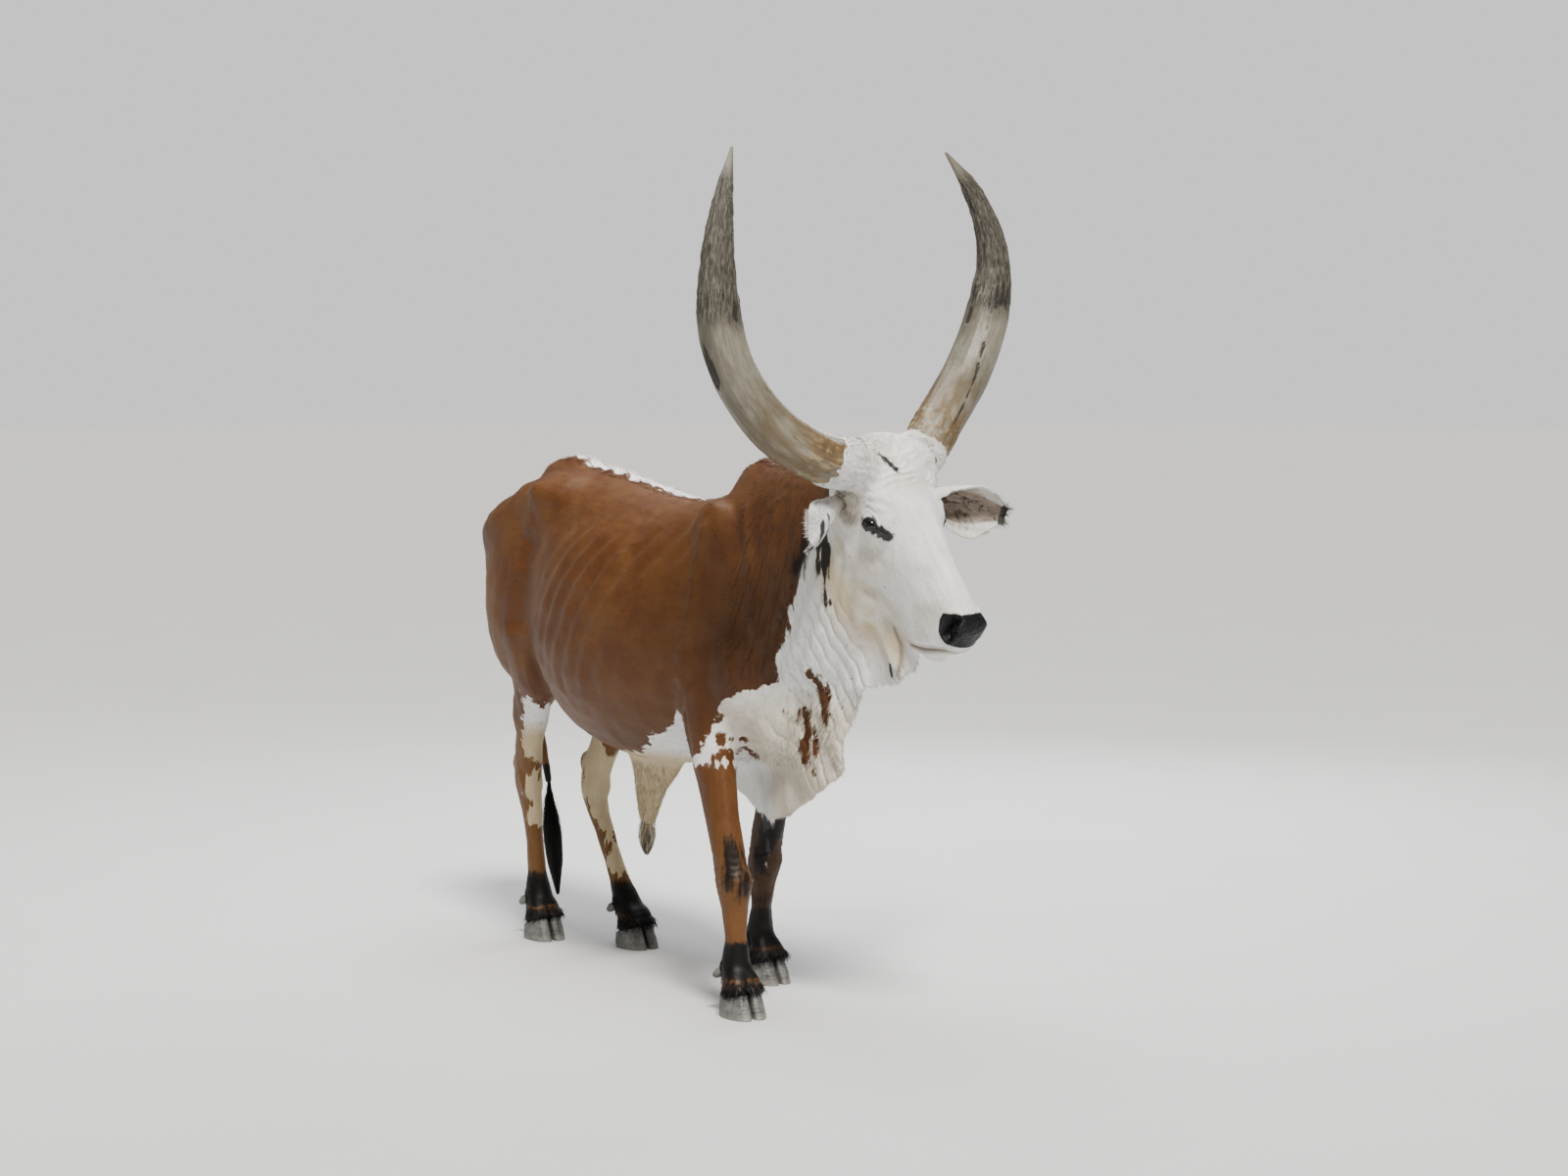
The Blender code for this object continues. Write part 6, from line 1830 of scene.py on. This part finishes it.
class OX_OT_head_coat(bpy.types.Operator):
    """Fine hair of the face, longer and whorled on the poll, and the hair of the ears"""
    bl_idname = "ox.head_coat"
    bl_label = "Head coat"

    def execute(self, context):
        grow("ox_coat_face", self.on_face, (21, 22), self.face_length, 0.0009, 0.11, 0.8)
        grow("ox_coat_poll", self.on_poll, (24, 25), 0.0125, 0.0013, 0.17, 0.6, 3, swirl=1.6)
        self.ears(bpy.data.objects["ox_skin"].data)
        self.lashes()
        return {"FINISHED"}

    def face_length(self, roots):
        along = head_terms(roots)[:, 2]
        return np.interp(along, (0.0, 0.15, 0.40, 0.50), (0.0100, 0.0078, 0.0065, 0.0045))

    def on_face(self, points):
        own = body_terms(points)
        head = head_terms(points)
        mouth = path_distance(head[:, 1:], MOUTH_PATH)
        bare = (pad_depth(head) > -0.001) | ((mouth < 0.003) & (head[:, 2] > 0.40))
        ears = np.zeros(len(points), dtype=bool)
        for which in (1, -1):
            out, _, away, _, _ = ear_terms(points, which)
            ears |= (out > 0.12) & (away < 0.075)
        here = (head_zone(own) > 0.5) & ~bare & ~ears
        return np.where(here, FACE_TUFTS, 0.0) * clear_of_eyes(points)

    def on_poll(self, points):
        own = body_terms(points)
        head = head_terms(points)
        crown = soft((0.115 - head[:, 2]) / 0.05) * soft((head[:, 1] + 0.11) / 0.05)
        gap, out = horn_root(points)
        collar = (gap < 0.080) & (out > 0.0) & (out < 0.135)
        crown = np.where(np.abs(head[:, 0]) < 0.15, crown, 0.0) + np.where(collar, 1.2, 0.0)
        return np.where(head_zone(own) > 0.5, POLL_TUFTS, 0.0) * crown

    def ears(self, skin):
        """Rim, tip, inner and root hair of both ears."""
        for which, label in ((1, "left"), (-1, "right")):
            def on_ear(points):
                out, across, away, _, _ = ear_terms(points, which)
                side = body_terms(points)[:, 0]
                near = (out > -0.02) & (away < ear_girth(out)) & (side * which > 0.075)
                rim = soft((np.abs(across) - 0.55) / 0.3)
                root = soft((0.25 - out) / 0.15)
                return np.where(near, EAR_TUFTS + EAR_RIM_TUFTS * rim + EAR_TUFTS * root, 0.0)

            roots, facing = roots_on(skin, on_ear, SEED + 31 + which)
            out, across, _, reach, opening = ear_terms(roots, which)
            side_way = np.cross(reach, opening)
            way = reach * (0.85 + 0.6 * out)[:, None] + side_way * (np.clip(across, -1, 1) * 0.6)[:, None]
            inside = soft((facing @ opening + 0.1) / 0.3)
            way = way + opening * (0.35 * inside)[:, None]
            way = along_skin(way, facing, 0.6)
            size = 0.0065 + 0.0100 * inside + 0.0035 * soft((np.abs(across) - 0.6) / 0.3)
            name = "ox_coat_ear_" + label
            add_coat(name, tuft_mesh(name, roots, facing, way, size, 0.0010, 0.17, 0.7, 3, SEED + 33))

    def lashes(self):
        """Black lashes along both upper lids."""
        roots = []
        facing = []
        way = []
        for side in (1, -1):
            gaze, inner, up = eye_axes(side)
            for step in np.linspace(-0.85, 0.85, 90):
                rise = (LENS_ABOVE + LENS_ARCH) * (1 - step * step)
                spot = unit(gaze * EYE_RADIUS + inner * step * LENS_HALF + up * rise) * (EYE_RADIUS + 0.0035)
                roots.append(eye_centre(side) + spot)
                facing.append(unit(up - gaze * 0.2))
                way.append(unit(gaze * 0.9 + up * 0.10 + inner * step * 0.5))
        roots, facing, way = (np.array(item) for item in (roots, facing, way))
        mesh = tuft_mesh("ox_lashes", roots, facing, way, 0.0075, 0.0006, -0.25, -0.6, 3, SEED + 41,
                         black=np.full(len(roots), 0.03))
        add_coat("ox_lashes", mesh)


SWITCH_CORE = ((0.390, 0.103, -0.883, 0.012), (0.330, 0.104, -0.880, 0.023), (0.250, 0.108, -0.874, 0.029),
               (0.170, 0.112, -0.868, 0.023), (0.105, 0.116, -0.864, 0.010), (0.074, 0.118, -0.862, 0.004))
TUFT_CORE = ((0.400, 0.0, -0.188, 0.020), (0.360, 0.0, -0.190, 0.026), (0.335, 0.0, -0.192, 0.025),
             (0.310, 0.0, -0.193, 0.018), (0.284, 0.0, -0.194, 0.006))


def hanging_locks(name, core, count, root_band, width, node, seed, **changed):
    """Long strands that hang round a middle line, packed to its outline."""
    draw = np.random.default_rng(seed)
    levels = [row[0] for row in core][::-1]
    columns = [[row[index] for row in core][::-1] for index in (1, 2, 3)]
    rows = 7
    turn = draw.random(count) * 2 * math.pi
    fullness = np.sqrt(draw.random(count))
    start = draw.uniform(*root_band, count)
    end = core[-1][0] + (start - core[-1][0]) * draw.random(count) ** 2.2 * 0.75
    curl = draw.normal(0, 0.35, count)
    points = []
    patch = []
    base = None
    for row in range(rows + 1):
        t = row / rows
        level = start + (end - start) * t
        side, ahead, radius = (np.interp(level, levels, column) for column in columns)
        radius = radius * fullness * (0.35 + 0.65 * soft(np.full(count, t * 1.8)))
        swing = turn + curl * t * t
        ahead = ahead + radius * np.sin(swing)
        middle = np.stack((side + radius * np.cos(swing), -ahead, level), axis=1) + SHIFT
        if base is None:
            base = middle.copy()
            chart = skin_chart(base)
        across = np.stack((-np.sin(swing), -np.cos(swing), np.zeros(count)), axis=1)
        half = width / 2 * (0.7 + 0.6 * t) * (1 - t ** 2.2)
        add_rung(points, patch, middle, across * half, chart, t)
    each = len(points)
    mesh = strand_mesh(name, points, patch, count)
    along = np.broadcast_to(strand_steps(rows), (count, each))
    spread = {key: value(along) for key, value in changed.items()}
    store_marks(mesh, base, np.zeros_like(base), each, **spread)
    store(mesh, "shade", np.repeat(draw.random(count), each))
    item = add_coat(name, mesh)
    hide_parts(node)


class OX_OT_long_hair(bpy.types.Operator):
    """Switch of the tail and the tuft of the sheath"""
    bl_idname = "ox.long_hair"
    bl_label = "Tail switch and sheath tuft"

    def execute(self, context):
        hanging_locks("ox_tail_switch", SWITCH_CORE, 2600, (0.17, 0.400), 0.0030, "tail_switch", SEED + 51,
                      black=lambda t: np.full(t.shape, 0.03), soot=lambda t: np.ones(t.shape))
        hanging_locks("ox_sheath_tuft", TUFT_CORE, 620, (0.335, 0.405), 0.0022, "sheath_tuft", SEED + 53,
                      soot=lambda t: 0.10 + 0.62 * t, white=lambda t: np.full(t.shape, 0.02),
                      black=lambda t: np.full(t.shape, -0.05), cream=lambda t: np.full(t.shape, 0.8))
        return {"FINISHED"}


CAMERA_PLACE = (-4.316, -6.843, 1.6)
CAMERA_AZIMUTH = math.radians(-34.0)
CAMERA_PITCH = math.radians(4.29)
CAMERA_LENS = 73.46
SKY_STRENGTH = 0.30
SKY_SEEN_EXTRA = 0.58


class OX_OT_stage(bpy.types.Operator):
    """Pale floor, soft studio light and the camera"""
    bl_idname = "ox.stage"
    bl_label = "Stage"

    def execute(self, context):
        scene = context.scene
        work = bmesh.new()
        bmesh.ops.create_circle(work, cap_ends=True, segments=96, radius=60.0)
        mesh = bpy.data.meshes.new("floor")
        work.to_mesh(mesh)
        work.free()
        floor = bpy.data.objects.new("floor", mesh)
        floor.location.z = min(0.0, float(solid_box[0][2])) - 0.0002
        scene.collection.objects.link(floor)
        mesh.materials.append(floor_finish())
        world = bpy.data.worlds.new("studio")
        world.use_nodes = True
        sky = world.node_tree.nodes["Background"]
        sky.inputs["Color"].default_value = (0.82, 0.82, 0.82, 1.0)
        graph = Graph(world.node_tree)
        seen = graph.add("ShaderNodeLightPath").outputs["Is Camera Ray"]
        graph.join(graph.times_plus(seen, SKY_SEEN_EXTRA, SKY_STRENGTH), sky.inputs["Strength"])
        scene.world = world
        self.broad_light("key", (-0.38, -0.92, 1.25), 3.7, 14.0, (1.0, 0.975, 0.94))
        self.soft_light("top", (0.4, 0.8, 5.4), 3.6, 150.0, (0.97, 0.98, 1.0))
        self.soft_light("rim", (3.4, 2.6, 2.8), 2.4, 60.0, (0.95, 0.97, 1.0))
        lens = bpy.data.cameras.new("camera")
        lens.sensor_fit = "HORIZONTAL"
        lens.sensor_width = 36.0
        lens.lens = CAMERA_LENS
        camera = bpy.data.objects.new("camera", lens)
        scene.collection.objects.link(camera)
        camera.location = Vector(CAMERA_PLACE) + Vector(SHIFT)
        level = math.cos(CAMERA_PITCH)
        side = -math.sin(CAMERA_AZIMUTH) * level
        way = Vector((side, math.cos(CAMERA_AZIMUTH) * level, -math.sin(CAMERA_PITCH)))
        camera.rotation_euler = way.to_track_quat("-Z", "Y").to_euler()
        scene.camera = camera
        scene.view_settings.look = "AgX - Medium High Contrast"
        return {"FINISHED"}

    def lamp(self, name, kind, energy, colour, where, aim):
        """A lamp that shines along its aim."""
        lamp = bpy.data.lights.new(name, kind)
        lamp.energy = energy
        lamp.color = colour
        item = bpy.data.objects.new(name, lamp)
        item.location = where
        item.rotation_euler = Vector(aim).to_track_quat("-Z", "Y").to_euler()
        bpy.context.scene.collection.objects.link(item)
        return lamp

    def broad_light(self, name, towards, strength, spread, colour):
        """An even light from one side, with soft shadows."""
        lamp = self.lamp(name, "SUN", strength, colour, (0.0, 0.0, 0.0), -Vector(towards))
        lamp.angle = math.radians(spread)

    def soft_light(self, name, where, size, power, colour):
        """A large lamp that points at the animal."""
        lamp = self.lamp(name, "AREA", power, colour, where, Vector((0.0, 0.0, 0.9)) - Vector(where))
        lamp.shape = "DISK"
        lamp.size = size


class OX_PT_panel(bpy.types.Panel):
    """Pieces of the zebu ox"""
    bl_label = "Zebu ox"
    bl_idname = "OX_PT_panel"
    bl_space_type = "VIEW_3D"
    bl_region_type = "UI"
    bl_category = "Zebu"

    def draw(self, context):
        layout = self.layout
        for name in OxSizes.__annotations__:
            layout.prop(context.scene.ox_sizes, name)
        for name in OxColours.__annotations__:
            layout.prop(context.scene.ox_colours, name)
        for operator in OPERATORS:
            layout.operator(operator.bl_idname)


OPERATORS = (OX_OT_stage, OX_OT_skin, OX_OT_eyes, OX_OT_horns, OX_OT_hooves, OX_OT_body_coat, OX_OT_head_coat,
             OX_OT_long_hair)
CLASSES = (OxSizes, OxColours, *OPERATORS, OX_PT_panel)


def register():
    """Make the add-on's classes and settings known."""
    for item in CLASSES:
        bpy.utils.register_class(item)
    bpy.types.Scene.ox_sizes = PointerProperty(type=OxSizes)
    bpy.types.Scene.ox_colours = PointerProperty(type=OxColours)


def unregister():
    """Take the add-on's classes and settings away."""
    del bpy.types.Scene.ox_colours
    del bpy.types.Scene.ox_sizes
    for item in reversed(CLASSES):
        bpy.utils.unregister_class(item)


def main():
    """Build every piece in order."""
    register()
    bpy.ops.ox.stage()
    bpy.ops.ox.skin()
    bpy.ops.ox.eyes()
    bpy.ops.ox.horns()
    bpy.ops.ox.hooves()
    bpy.ops.ox.body_coat()
    bpy.ops.ox.head_coat()
    bpy.ops.ox.long_hair()


if __name__ == "__main__":
    main()
